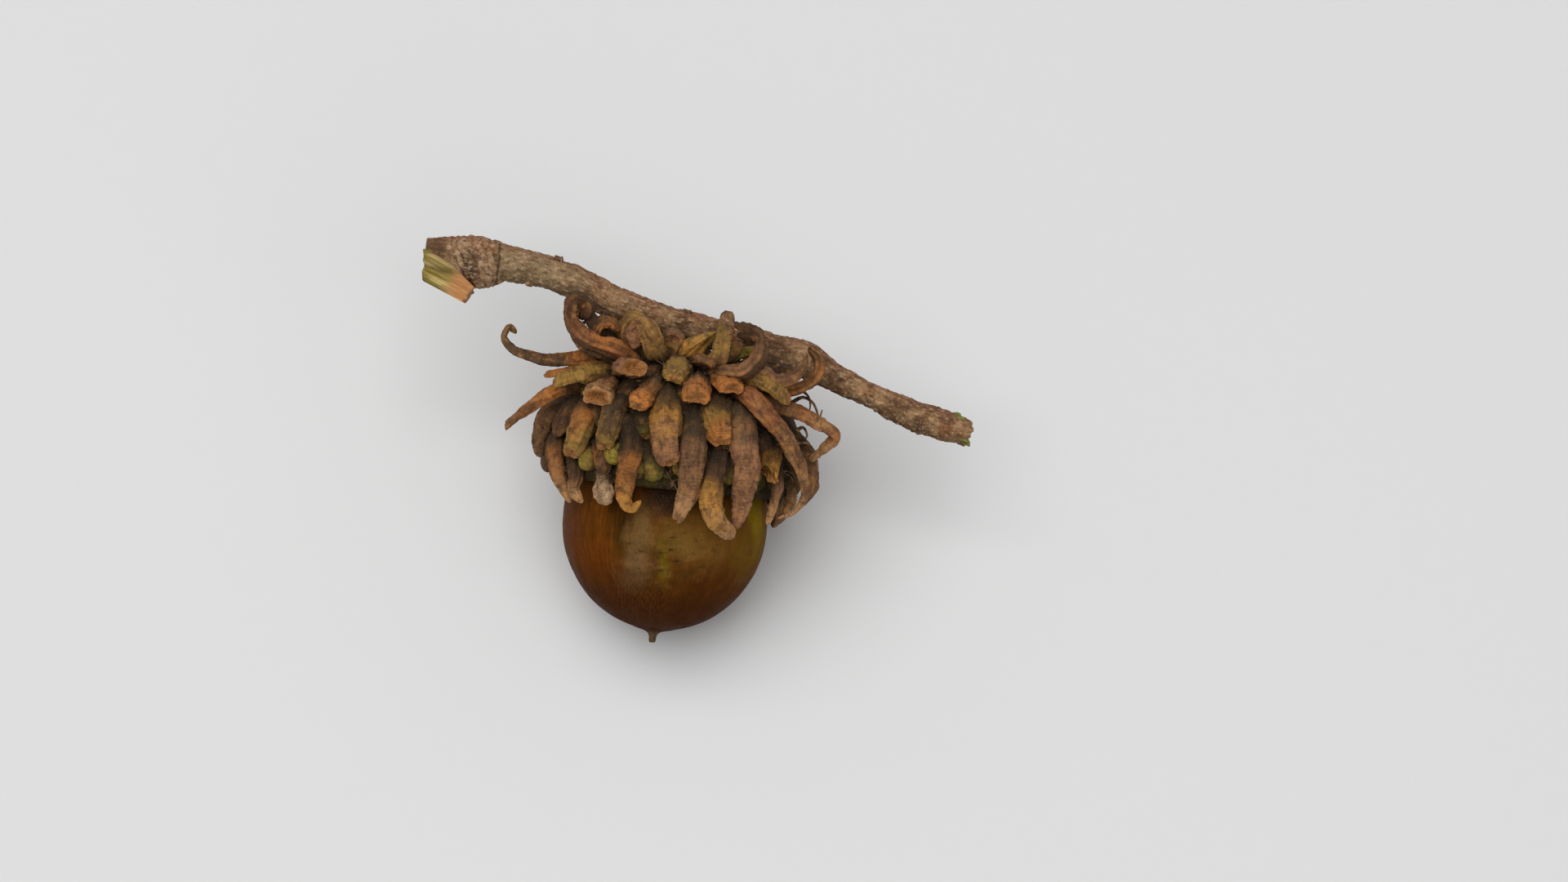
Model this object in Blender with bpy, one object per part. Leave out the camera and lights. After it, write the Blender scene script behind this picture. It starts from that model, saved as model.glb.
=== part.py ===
"""An acorn in its cup of long curling scales, still on the piece of twig that it was picked with.

It lies on a surface as such an acorn does: on the side of the nut and on the scales under the cup,
with the point of the nut lower than the twig. Every shape is first placed in millimetres on the
plant: X to the right, Y up from the nut towards the twig and Z to the front, from the middle of
the nut where it is widest. Then the plant is laid down, in metres, with its origin on the small
flat spot that the nut rests on.
"""

import math
import random

import bmesh
import bpy
from mathutils import Matrix, Quaternion, Vector

MM = 0.001

# How the plant stands and lies
AXIS_LEAN = math.radians(6.1)  # of the nut's own axis, to the right of plant Y
REST_LEAN = math.radians(22.0)  # of the plant when it lies, nut point down
REST_PRESS = 0.08  # how deep the surface cuts into the round nut, to make its flat spot
GAP = 0.3  # kept between two pieces that touch
SLAB_SIZE = 90.0  # of the block that stands for the surface, larger than the plant

# Nut
NUT_RADIUS = 10.7
NUT_POINT_LENGTH = 11.3  # from the widest place to the foot of the little point
NUT_BASE_LENGTH = 13.5  # the same half length towards the cup, if it weren't cut off by the scar
NUT_SCAR_HEIGHT = 12.0
POINT_HEIGHT = -12.6
POINT_FOOT_RADIUS = 1.5
POINT_FOOT_HEIGHT = -11.15
POINT_NECK_RADIUS = 0.45
POINT_NECK_LENGTH = 0.75
POINT_TIP_RADIUS = 0.36
NUT_SIDES = 44
NUT_RINGS_BELOW = 11
NUT_RINGS_ABOVE = 7

# Cup: height above the nut's widest place and outer radius, from the rim to the twig
CUP_OUTSIDE = [
    (3.6, 11.5),
    (4.6, 12.1),
    (6.6, 12.4),
    (8.8, 12.1),
    (11.0, 11.1),
    (13.0, 9.6),
    (15.0, 7.4),
    (16.5, 5.0),
    (17.6, 3.4),
    (19.6, 2.3),
]
CUP_SIDES = 30
ROOT_SINK = 1.3  # of a scale in the cup's wall
SCALE_SIDES = 5  # with a keel along the outer face
RING_STEP = 2.4  # along a scale, between its rings where it is straight
RING_TURN = math.radians(55.0)  # and how far it may turn between them in a curl
LEAST_THICK = 0.62
LYING_SHARE = 0.8  # of its half thickness, how high the middle of a scale on the surface is
POINTED_END = 0.55  # how much narrower the last ring of a scale is
ROUNDED_END = 0.7
CURVE_SAMPLES = 12  # between two points of a smooth line
HALF_ACROSS = 0.5 / math.sin(2 * math.pi / SCALE_SIDES)  # so that the section is as wide as stated

# Scales that show from the front: the root's X and Y on the cup, points along the
# scale, its width at the root, middle and end, its thickness as a share of that, and its end
FRONT_SCALES = [
    # hanging over the left shoulder
    ((-9.5, 12.6), [(-11.8, 11.6, 2.5), (-12.8, 9.4, 2.5), (-13.0, 7.0, 2.2)],
     (2.2, 2.6, 1.8), 0.6, "round"),
    ((-9.0, 12.4), [(-10.2, 10.8, 6.0), (-11.0, 9.0, 6.6)], (1.9, 2.2, 1.5), 0.6, "round"),
    ((-10.6, 9.4), [(-11.1, 8.2, 5.6), (-11.1, 6.5, 6.6), (-10.7, 4.6, 6.9), (-9.7, 2.2, 6.8)],
     (1.9, 1.8, 0.8), 0.8, "point"),
    ((-8.9, 7.2), [(-9.0, 5.2, 8.7), (-9.2, 3.6, 8.6), (-8.4, 2.2, 9.0)],
     (1.9, 1.5, 0.8), 0.7, "round"),
    ((-7.4, 12.3), [(-8.4, 9.8, 9.7), (-9.5, 7.2, 10.2)], (2.5, 2.9, 2.2), 0.7, "cut"),
    ((-4.4, 13.2), [(-5.3, 10.7, 11.3), (-6.0, 7.9, 12.4)], (2.4, 2.7, 1.8), 0.6, "cut"),
    ((-6.2, 8.5), [(-6.1, 6.7, 11.4), (-6.0, 5.0, 11.4)], (2.6, 2.0, 0.9), 0.6, "round"),
    ((-6.1, 6.0), [(-6.0, 4.0, 11.6), (-5.9, 2.2, 11.2)], (1.0, 1.1, 1.8), 0.8, "round"),
    # the long ones down the middle
    ((-3.2, 9.5), [(-3.3, 6.7, 13.0), (-3.8, 4.3, 12.9), (-3.9, 2.6, 12.5), (-3.2, 1.6, 12.4),
         (-2.2, 2.3, 12.9)],
     (2.8, 2.1, 0.8), 0.6, "point"),
    ((0.6, 13.2), [(0.35, 11.1, 12.2), (0.4, 8.5, 14.0), (0.8, 6.3, 14.7)],
     (2.6, 3.1, 2.0), 0.7, "cut"),
    ((3.1, 11.4), [(3.2, 8.1, 13.1), (3.0, 5.1, 13.3), (2.4, 2.6, 12.7), (1.5, 0.4, 12.2)],
     (2.8, 2.6, 1.1), 0.6, "round"),
    ((5.3, 12.6), [(5.6, 10.7, 11.9), (6.1, 8.4, 13.2)], (2.9, 3.2, 2.0), 0.65, "cut"),
    ((5.6, 7.1), [(5.2, 4.3, 12.4), (5.0, 2.1, 12.4), (5.7, 0.2, 11.8), (7.3, -1.2, 10.2)],
     (2.5, 2.3, 1.3), 0.7, "round"),
    ((7.7, 12.1), [(8.2, 9.1, 11.4), (8.6, 6.1, 11.6), (8.3, 3.1, 11.0), (7.6, -0.3, 9.9)],
     (2.8, 2.9, 1.3), 0.6, "round"),
    # stumps of broken scales round the top of the cup
    ((-5.6, 14.8), [(-6.2, 13.9, 8.3), (-6.8, 12.9, 10.7)], (2.4, 2.7, 2.9), 0.75, "cut"),
    ((-0.7, 14.7), [(-1.6, 13.4, 10.8), (-2.6, 12.1, 13.0)], (2.1, 2.2, 1.9), 0.8, "cut"),
    ((3.4, 14.8), [(3.4, 14.2, 10.0), (3.5, 12.9, 12.8)], (2.4, 2.7, 2.8), 0.7, "cut"),
    ((-4.3, 15.6), [(-3.8, 16.0, 8.9), (-2.9, 16.0, 11.0)], (2.4, 2.6, 2.6), 0.85, "cut"),
    ((1.6, 16.6), [(1.5, 16.0, 8.6), (1.2, 15.0, 11.2)], (2.2, 2.7, 2.9), 0.75, "cut"),
    ((3.1, 16.6), [(4.0, 16.8, 8.0), (4.9, 16.5, 10.4)], (1.8, 1.8, 1.6), 0.85, "cut"),
    ((5.6, 15.5), [(6.3, 14.8, 8.8), (7.2, 13.8, 11.2)], (2.2, 2.4, 2.4), 0.7, "cut"),
    ((-4.6, 15.9), [(-8.4, 15.4, 6.8), (-11.2, 14.6, 8.0)], (2.1, 2.2, 1.8), 0.9, "cut"),
    ((-4.6, 16.4), [(-9.0, 15.9, 4.4), (-12.2, 15.4, 5.2)], (1.5, 1.5, 1.0), 0.8, "cut"),
    ((-7.4, 14.2), [(-10.4, 13.9, 4.6), (-13.0, 12.7, 5.4), (-16.4, 10.1, 5.8)],
     (2.0, 1.5, 0.8), 0.95, "cut"),
    ((6.8, 14.6), [(10.0, 14.8, 8.0), (12.9, 12.8, 9.0)], (2.0, 2.1, 1.8), 0.9, "cut"),
    # long ones down the right side
    ((7.4, 13.8), [(9.1, 13.0, 9.6), (10.8, 11.1, 10.4), (12.5, 9.0, 9.8), (13.8, 6.6, 8.6),
         (14.5, 4.6, 7.6), (14.5, 2.8, 6.8), (13.4, 1.2, 6.6), (11.9, 0.6, 7.2)],
     (2.7, 2.1, 1.0), 0.75, "point"),
    ((8.6, 13.0), [(12.0, 12.2, 6.6), (14.9, 10.9, 6.6), (17.6, 9.2, 6.2), (16.7, 7.9, 5.6),
         (15.2, 6.6, 5.0)],
     (2.2, 1.7, 1.1), 0.85, "round"),
    ((11.6, 9.8), [(14.2, 8.0, 3.4), (15.3, 5.6, 3.2), (15.4, 3.6, 3.0), (14.4, 1.8, 3.0)],
     (1.9, 2.0, 0.9), 0.7, "round"),
    ((11.0, 8.4), [(10.9, 6.6, 8.4), (10.6, 5.2, 9.4)], (1.8, 2.1, 2.4), 0.6, "cut"),
    ((11.3, 6.6), [(11.8, 4.3, 7.6), (11.5, 2.5, 7.2), (10.8, 0.0, 7.4)],
     (1.6, 1.2, 0.8), 0.9, "round"),
    ((12.2, 6.4), [(13.2, 3.8, 4.6), (12.8, 1.6, 4.8), (11.8, 0.0, 5.4)],
     (1.9, 1.6, 0.9), 0.8, "round"),
    # curls under and in front of the twig
    ((-2.6, 16.2), [(-4.6, 17.8, 7.4), (-7.4, 18.8, 7.6), (-8.9, 19.9, 7.2), (-9.8, 21.5, 6.6),
         (-9.3, 23.1, 6.0), (-8.1, 22.6, 5.4), (-8.3, 21.2, 5.0)],
     (2.1, 2.1, 1.9), 0.75, "round"),
    ((-3.0, 16.3), [(-6.2, 17.0, 3.6), (-11.8, 16.9, 3.8), (-13.9, 17.3, 3.6), (-15.7, 18.0, 3.4),
         (-16.8, 19.3, 3.2), (-16.2, 20.5, 3.0), (-15.4, 19.9, 2.8)],
     (2.0, 1.5, 0.8), 1.0, "round"),
    ((-2.2, 16.8), [(-4.7, 17.9, 4.8), (-6.6, 18.5, 5.0), (-7.2, 19.6, 5.2), (-6.6, 20.8, 5.3),
         (-5.4, 20.9, 5.3), (-4.6, 20.0, 5.2)],
     (2.4, 2.6, 1.8), 0.38, "round"),
    ((-1.4, 17.0), [(-3.9, 18.7, 3.8), (-4.2, 20.3, 4.1), (-3.1, 21.3, 4.3), (-2.1, 20.4, 4.4)],
     (2.0, 2.4, 2.0), 0.7, "round"),
    ((-0.2, 16.9), [(-0.6, 17.6, 7.2), (-1.3, 19.2, 8.2), (-2.0, 20.2, 7.8), (-2.8, 19.7, 7.2),
         (-3.0, 18.2, 7.0)],
     (2.1, 2.3, 1.8), 0.8, "round"),
    ((0.8, 17.0), [(0.6, 18.3, 5.6), (1.3, 19.6, 7.2)], (1.8, 2.4, 2.3), 0.9, "round"),
    ((2.0, 16.9), [(3.2, 18.1, 6.6), (5.4, 19.7, 7.2)], (1.7, 2.5, 0.8), 0.8, "point"),
    ((4.2, 16.0), [(5.6, 16.9, 8.4), (6.2, 18.8, 8.2), (6.4, 20.4, 6.6), (6.3, 20.8, 5.0)],
     (1.9, 1.9, 1.3), 0.8, "round"),
    ((5.0, 15.8), [(6.6, 15.5, 8.4), (8.4, 15.6, 9.4), (9.9, 17.0, 9.2), (10.3, 18.7, 8.4),
         (9.6, 19.5, 7.2), (8.0, 19.8, 6.0)],
     (2.1, 2.6, 2.2), 0.55, "cut"),
    ((6.0, 15.4), [(9.6, 15.5, 7.2), (11.6, 14.7, 8.2), (13.3, 15.0, 8.3), (14.4, 16.2, 7.8),
         (14.8, 17.4, 7.2)],
     (2.0, 2.6, 0.8), 0.7, "point"),
    ((7.0, 14.6), [(10.5, 14.2, 5.8), (12.8, 13.7, 6.2), (14.8, 14.2, 6.0), (16.0, 15.5, 5.7),
         (16.2, 17.0, 5.3), (15.1, 18.2, 4.9)],
     (1.9, 2.3, 1.7), 0.6, "round"),
]

# Rings of scales round the back, from the rim up: height, how many would go all round, length,
# slant at the root and at the end (0 straight out, 90 down over the nut, less than 0 curling up
# round the twig), width, and how they end
BACK_RINGS = [
    (5.2, 15, 5.4, 66, 100, 2.2, "point"),
    (7.4, 15, 6.6, 50, 98, 2.5, "round"),
    (9.6, 14, 6.6, 40, 88, 2.9, "cut"),
    (11.8, 13, 6.0, 36, 74, 3.0, "cut"),
    (13.8, 11, 5.6, 30, 68, 3.0, "cut"),
    (15.4, 9, 6.8, 10, -120, 2.0, "round"),
]
FIRST_BACK_AZIMUTH = 76.0
LAST_BACK_AZIMUTH = 260.0
BACK_SEED = 11
# What varies from one of these to the next: where it stands and how it leans to the side, in
# degrees, the slant of its end, its length and its width
AZIMUTH_SPREAD = 4.0
SIDEWAYS_SPREAD = 14.0
SLANT_SPREAD = 12.0
LENGTH_SPREAD = 0.15
WIDTH_SPREAD = 0.1
RING_FLATNESS = 0.65
RING_CUT_WIDTH = 0.75  # at the end, as a share of the width
RING_TIP_WIDTH = 0.5
# Short scales that fill the front between the long ones: height, count all round, length, slants,
# width and ending
FILLING_RINGS = [
    (5.3, 17, 2.6, 62, 95, 2.3, "round"),
    (7.6, 16, 3.4, 50, 84, 2.5, "round"),
    (9.9, 15, 3.6, 45, 76, 2.5, "cut"),
    (12.0, 13, 3.6, 40, 66, 2.4, "cut"),
    (14.0, 11, 3.2, 30, 60, 2.3, "cut"),
    (15.6, 8, 2.8, 20, 40, 2.0, "round"),
]

# Twig: points along its middle, each with its radius
TWIG_LINE = [
    ((-25.0, 28.0, 0.0), 1.75),
    ((-22.6, 27.8, 0.0), 2.1),
    ((-20.4, 27.5, 0.0), 2.45),
    ((-18.3, 27.2, 0.0), 2.5),
    ((-16.4, 27.0, 0.0), 1.95),
    ((-13.6, 26.6, 0.0), 1.75),
    ((-9.6, 25.2, 0.0), 1.7),
    ((-5.6, 23.2, 0.0), 1.7),
    ((-1.2, 21.5, 0.0), 1.65),
    ((3.1, 20.3, -0.2), 1.65),
    ((7.4, 19.2, -0.4), 1.6),
    ((11.6, 17.9, -0.4), 1.75),
    ((14.6, 17.2, -0.2), 1.9),
    ((17.2, 15.5, 0.0), 1.5),
    ((20.2, 13.9, 0.0), 1.25),
    ((24.4, 12.0, 0.0), 1.3),
    ((28.0, 10.6, 0.0), 1.6),
    ((31.8, 9.3, 0.0), 1.3),
]
TWIG_SIDES = 12
TWIG_STEP = 1.9
# Torn heel of the older wood, seen from the front: where the twig came off its branch
HEEL_OUTLINE = [
    (-25.1, 28.5), (-25.2, 25.3), (-20.9, 23.0), (-20.4, 24.0), (-19.2, 24.6), (-20.2, 25.8), (-22.4, 27.7),
]
HEEL_THICK = 4.0
HEEL_HALF = 2.0  # about half its height, to work out how much larger it is with a gap round it
HEEL_BEVEL = 0.4
# Little lumps on the bark: the middle, the way they stand out, how far, and their radius
LUMP_SHAPE = (1.3, 1.05, 0.7)  # its radius from the foot to the end, as shares
LUMP_SIDES = 7
TWIG_LUMPS = [
    ((-11.4, 26.4, 0.4), (0.25, 1.0, 0.1), 1.5, 0.55),
    ((-14.0, 26.2, 0.2), (-0.1, -1.0, 0.3), 1.5, 0.5),
    ((2.1, 21.0, 0.0), (0.3, 1.0, 0.2), 1.3, 0.6),
    ((6.4, 19.8, -0.3), (0.1, 1.0, -0.25), 2.3, 0.75),
    ((22.0, 13.2, 0.0), (-0.3, -1.0, 0.5), 1.1, 0.5),
]


def material(name, colour, roughness):
    made = bpy.data.materials.new(name)
    made.use_nodes = True
    shader = made.node_tree.nodes["Principled BSDF"]
    shader.inputs["Base Color"].default_value = (*colour, 1.0)
    shader.inputs["Roughness"].default_value = roughness
    shader.inputs["Metallic"].default_value = 0.0
    return made


def between(points, value):
    """The second number of the pairs in points, read along straight lines at the first number value."""
    if value <= points[0][0]:
        return points[0][1]
    for (x0, y0), (x1, y1) in zip(points, points[1:]):
        if value <= x1:
            return y0 + (y1 - y0) * (value - x0) / (x1 - x0)
    return points[-1][1]


# The nut's own axis stands on plant X and Y like this, and the plant lies down by the next one
AXIS = Vector((math.sin(AXIS_LEAN), math.cos(AXIS_LEAN), 0.0))
ON_AXIS = Matrix.Rotation(-AXIS_LEAN, 4, "Z") @ Matrix.Rotation(-math.pi / 2, 4, "X")
UP = Vector((0.0, math.sin(REST_LEAN), math.cos(REST_LEAN)))


def resting_point():
    """Where the half ellipsoid of the nut's lower half is lowest once the plant lies down."""
    down = -UP
    along = down.dot(AXIS)
    across = down - AXIS * along
    reach = math.sqrt((NUT_POINT_LENGTH * along) ** 2 + (NUT_RADIUS * across.length) ** 2)
    return (AXIS * (along * NUT_POINT_LENGTH**2) + across * NUT_RADIUS**2) / reach


TABLE = resting_point() + UP * REST_PRESS
LAID_DOWN = (
    Matrix.Scale(MM, 4)
    @ Matrix.Rotation(REST_LEAN, 4, "X")
    @ Matrix.Translation(-TABLE)
)


def above_table(point):
    return (point - TABLE).dot(UP)


def finish(name, mesh_data, colour_material, sharp_degrees=40.0):
    mesh_data.transform(LAID_DOWN)
    mesh = bpy.data.meshes.new(name)
    mesh_data.to_mesh(mesh)
    mesh_data.free()
    piece = bpy.data.objects.new(name, mesh)
    bpy.context.scene.collection.objects.link(piece)
    mesh.materials.append(colour_material)
    mesh.shade_smooth()
    mesh.set_sharp_from_angle(angle=math.radians(sharp_degrees))
    return piece


def turned(profile, sides):
    """A closed solid turned round the nut's axis, from (radius, height) pairs that end on the axis."""
    made = bmesh.new()
    chain = [made.verts.new((radius, 0.0, height)) for radius, height in profile]
    edges = [made.edges.new(pair) for pair in zip(chain, chain[1:])]
    bmesh.ops.spin(
        made, geom=chain + edges, cent=(0, 0, 0), axis=(0, 0, 1), angle=2 * math.pi,
        steps=sides, use_merge=True, use_duplicate=False,
    )
    bmesh.ops.remove_doubles(made, verts=made.verts, dist=1e-5)
    bmesh.ops.recalc_face_normals(made, faces=made.faces)
    made.transform(ON_AXIS)
    return made


def nut_profile(extra=0.0):
    """Radius and height from the little point up to the scar, with all of it extra millimetres larger."""
    profile = [
        (0.0, POINT_HEIGHT - extra),
        (POINT_TIP_RADIUS + extra, POINT_HEIGHT - extra),
        (POINT_NECK_RADIUS + extra, POINT_HEIGHT + POINT_NECK_LENGTH),
        (POINT_FOOT_RADIUS + extra, POINT_FOOT_HEIGHT),
    ]
    turns = [math.pi / 2 * (1 - k / NUT_RINGS_BELOW) for k in range(2, NUT_RINGS_BELOW + 1)]
    profile += [
        (NUT_RADIUS * math.cos(t) + extra, -NUT_POINT_LENGTH * math.sin(t)) for t in turns
    ]
    scar_turn = math.asin(NUT_SCAR_HEIGHT / NUT_BASE_LENGTH)
    turns = [scar_turn * k / NUT_RINGS_ABOVE for k in range(1, NUT_RINGS_ABOVE + 1)]
    profile += [
        (NUT_RADIUS * math.cos(t) + extra, NUT_BASE_LENGTH * math.sin(t)) for t in turns
    ]
    profile[-1] = (profile[-1][0], NUT_SCAR_HEIGHT + extra)
    return profile + [(0.0, NUT_SCAR_HEIGHT + extra)]


def smooth_line(points, step, turn=RING_TURN):
    """Places on a smooth curve through the points: about step apart, and closer where it curls."""
    ends = [points[0] * 2 - points[1], *points, points[-1] * 2 - points[-2]]
    dense = []
    for a, b, c, d in zip(ends, ends[1:], ends[2:], ends[3:]):
        for k in range(CURVE_SAMPLES):
            t = k / CURVE_SAMPLES
            dense.append(
                0.5 * (2 * b + (c - a) * t + (2 * a - 5 * b + 4 * c - d) * t * t
                       + (3 * b - a - 3 * c + d) * t**3)
            )
    dense.append(points[-1])
    run = [0.0]
    way = dense[1] - dense[0]
    for a, b in zip(dense, dense[1:]):
        run.append(run[-1] + (b - a).length / step + way.angle(b - a, 0.0) / turn)
        way = b - a
    count = max(2, round(run[-1]))
    places, at = [], 0
    for k in range(count + 1):
        wanted = run[-1] * k / count
        while at < len(run) - 2 and run[at + 1] < wanted:
            at += 1
        share = (wanted - run[at]) / max(run[at + 1] - run[at], 1e-9)
        places.append(dense[at].lerp(dense[at + 1], min(1.0, share)))
    return places


def frames_along(places, first_up):
    """At each place the way along, the way across and the way out, turned as little as possible."""
    frames = []
    out = first_up
    for k, place in enumerate(places):
        ahead = places[min(k + 1, len(places) - 1)]
        behind = places[max(k - 1, 0)]
        along = (ahead - behind).normalized()
        out = (out - along * out.dot(along)).normalized()
        frames.append((place, along.cross(out), out))
    return frames


def ring(made, centre, across, out, half_width, half_thick, sides):
    turns = [math.pi / 2 + 2 * math.pi * k / sides for k in range(sides)]
    return [
        made.verts.new(centre + across * (half_width * math.cos(t)) + out * (half_thick * math.sin(t)))
        for t in turns
    ]


def tube(frames, sizes, sides):
    """A closed solid through oval rings, each with its own half width and half thickness."""
    made = bmesh.new()
    rings = [
        ring(made, place, across, out, width, thick, sides)
        for (place, across, out), (width, thick) in zip(frames, sizes)
    ]
    for low, high in zip(rings, rings[1:]):
        for k in range(sides):
            made.faces.new((low[k], low[k - 1], high[k - 1], high[k]))
    made.faces.new(rings[0])
    made.faces.new(reversed(rings[-1]))
    bmesh.ops.recalc_face_normals(made, faces=made.faces)
    return made


def cup_root(x, y):
    """The place on the front of the cup at plant X and Y, and the way straight out of the cup there."""
    flat = Vector((x, y, 0.0))
    height = flat.dot(AXIS)
    across = flat - AXIS * height
    radius = between(CUP_OUTSIDE, height)
    front = math.sqrt(max(0.0, radius**2 - across.length_squared))
    outward = (across + Vector((0.0, 0.0, front))).normalized()
    return AXIS * height + outward * min(radius, max(across.length, radius)), outward


def width_at(share, widths):
    first, middle, last = widths
    if share < 0.5:
        return first + (middle - first) * share * 2
    return middle + (last - middle) * (share * 2 - 1)


def scale_solid(root, outward, points, widths, flatness, ending):
    places = smooth_line([root - outward * ROOT_SINK, root, *points], RING_STEP)
    lifted = []
    for k, place in enumerate(places):
        half = width_at(k / (len(places) - 1), widths) * flatness / 2
        low = above_table(place) - half * LYING_SHARE
        lifted.append(place - UP * low if low < 0 and k > 1 else place)
    frames = frames_along(lifted, AXIS)
    sizes = []
    for k in range(len(frames)):
        width = width_at(k / (len(frames) - 1), widths)
        sizes.append((width * HALF_ACROSS, max(LEAST_THICK, width * flatness) / 2))
    narrower = {"point": POINTED_END, "round": ROUNDED_END, "cut": 1.0}[ending]
    last_width, last_thick = sizes[-1]
    sizes[-1] = (last_width * narrower, max(last_thick * narrower, LEAST_THICK / 2))
    return tube(frames, sizes, SCALE_SIDES)


def ring_scales(rings, first_azimuth, last_azimuth, steps):
    """Root, way out, points, widths, flatness and ending of each scale between two azimuths."""
    draw = random.Random(BACK_SEED)
    for number, (height, count, length, start, end, width, ending) in enumerate(rings):
        radius = between(CUP_OUTSIDE, height)
        for k in range(count):
            azimuth = 360.0 * (k + 0.5 * (number % 2)) / count
            azimuth += draw.uniform(-AZIMUTH_SPREAD, AZIMUTH_SPREAD)
            long = length * (1.0 + draw.uniform(-LENGTH_SPREAD, LENGTH_SPREAD))
            sideways = draw.uniform(-SIDEWAYS_SPREAD, SIDEWAYS_SPREAD)
            bend_end = end + draw.uniform(-SLANT_SPREAD, SLANT_SPREAD)
            wide = width * (1.0 + draw.uniform(-WIDTH_SPREAD, WIDTH_SPREAD))
            if not first_azimuth < (azimuth - first_azimuth) % 360.0 + first_azimuth < last_azimuth:
                continue
            # azimuth 0 is the front, and 90 is plant X
            outward = Quaternion(AXIS, math.radians(azimuth)) @ Vector((0.0, 0.0, 1.0))
            root = AXIS * height + outward * radius
            down = -(Quaternion(outward, math.radians(sideways)) @ AXIS)
            place = root.copy()
            points = []
            for step in range(steps):
                slant = math.radians(start + (bend_end - start) * (step + 0.5) / steps)
                place = place + (outward * math.cos(slant) + down * math.sin(slant)) * (long / steps)
                points.append(place)
            tip = RING_CUT_WIDTH if ending == "cut" else RING_TIP_WIDTH
            yield root, outward, points, (wide, wide, wide * tip), RING_FLATNESS, ending


def all_scales():
    for (x, y), points, widths, flatness, ending in FRONT_SCALES:
        root, outward = cup_root(x, y)
        yield root, outward, [Vector(p) for p in points], widths, flatness, ending
    yield from ring_scales(BACK_RINGS, FIRST_BACK_AZIMUTH, LAST_BACK_AZIMUTH, 4)
    yield from ring_scales(FILLING_RINGS, LAST_BACK_AZIMUTH, FIRST_BACK_AZIMUTH + 360.0, 2)


def hidden_object(name, mesh_data):
    mesh = bpy.data.meshes.new(name)
    mesh_data.to_mesh(mesh)
    mesh_data.free()
    piece = bpy.data.objects.new(name, mesh)
    bpy.context.scene.collection.objects.link(piece)
    return piece


def joined(base, others, operation):
    """base after one Boolean with the objects others, which are then removed."""
    group = bpy.data.collections.new("joining")
    bpy.context.scene.collection.children.link(group)
    for other in others:
        group.objects.link(other)
    change = base.modifiers.new("join", "BOOLEAN")
    change.operation = operation
    change.solver = "MANIFOLD"
    change.operand_type = "COLLECTION"
    change.collection = group
    seen = base.evaluated_get(bpy.context.evaluated_depsgraph_get())
    result = bmesh.new()
    result.from_mesh(seen.to_mesh())
    seen.to_mesh_clear()
    for other in others:
        bpy.data.objects.remove(other)
    bpy.data.collections.remove(group)
    bpy.data.objects.remove(base)
    return result


def one_body(mesh_data):
    """Keeps the largest skin, so that hollows sealed by the joining are filled and scraps are dropped."""
    unseen = set(mesh_data.verts)
    largest = []
    while unseen:
        patch = [unseen.pop()]
        for vert in patch:
            for edge in vert.link_edges:
                other = edge.other_vert(vert)
                if other in unseen:
                    unseen.remove(other)
                    patch.append(other)
        if len(patch) > len(largest):
            largest = patch
    kept = set(largest)
    bmesh.ops.delete(mesh_data, geom=[v for v in mesh_data.verts if v not in kept], context="VERTS")
    return mesh_data


def table_slab():
    """A block under the surface that the plant lies on."""
    made = bmesh.new()
    bmesh.ops.create_cube(made, size=SLAB_SIZE)
    made.transform(
        Matrix.Translation(TABLE) @ Matrix.Rotation(-REST_LEAN, 4, "X")
        @ Matrix.Translation((0.0, 0.0, -SLAB_SIZE / 2))
    )
    return made


def twig_tube(extra=0.0):
    points = [Vector(p) for p, _ in TWIG_LINE]
    places = smooth_line(points, TWIG_STEP)
    radii = [(p[0], r) for p, r in TWIG_LINE]
    frames = frames_along(places, Vector((0.0, 1.0, 0.0)))
    sizes = [(between(radii, place.x) + extra,) * 2 for place in places]
    return tube(frames, sizes, TWIG_SIDES)


def heel(extra=0.0):
    """The torn wedge of older wood, thinner towards its lower tip."""
    made = bmesh.new()
    middle = sum((Vector((x, y, 0.0)) for x, y in HEEL_OUTLINE), Vector()) / len(HEEL_OUTLINE)
    grow = 1.0 + extra / HEEL_HALF
    forward = Vector((0.0, 0.0, HEEL_THICK / 2 + extra))
    front = [
        made.verts.new(middle + (Vector((x, y, 0.0)) - middle) * grow + forward)
        for x, y in HEEL_OUTLINE
    ]
    face = made.faces.new(front)
    back = bmesh.ops.extrude_face_region(made, geom=[face])
    moved = [v for v in back["geom"] if isinstance(v, bmesh.types.BMVert)]
    bmesh.ops.translate(made, verts=moved, vec=-2.0 * forward)
    bmesh.ops.bevel(
        made, geom=made.edges[:], offset=HEEL_BEVEL, segments=1, profile=0.5, affect="EDGES", material=-1
    )
    bmesh.ops.recalc_face_normals(made, faces=made.faces)
    return made


def lump(middle, way, reach, radius, extra=0.0):
    """A short blunt peg that stands out of the bark."""
    way = Vector(way).normalized()
    start = Vector(middle)
    places = [start, start + way * reach * 0.6, start + way * (reach + extra)]
    frames = frames_along(places, way.orthogonal())
    sizes = [(radius * share + extra,) * 2 for share in LUMP_SHAPE]
    return tube(frames, sizes, LUMP_SIDES)


def twig_shapes(extra=0.0):
    return [heel(extra), *(lump(*l, extra) for l in TWIG_LUMPS)]


def whole_twig(extra=0.0):
    base = hidden_object("twig_tube", twig_tube(extra))
    others = [hidden_object(f"twig_{k}", s) for k, s in enumerate(twig_shapes(extra))]
    return joined(base, others, "UNION")


def make_nut():
    base = hidden_object("nut_turned", turned(nut_profile(), NUT_SIDES))
    flat = joined(base, [hidden_object("slab", table_slab())], "DIFFERENCE")
    return finish("nut", flat, material("nut_shell", (0.16, 0.065, 0.02), 0.3))


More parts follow.
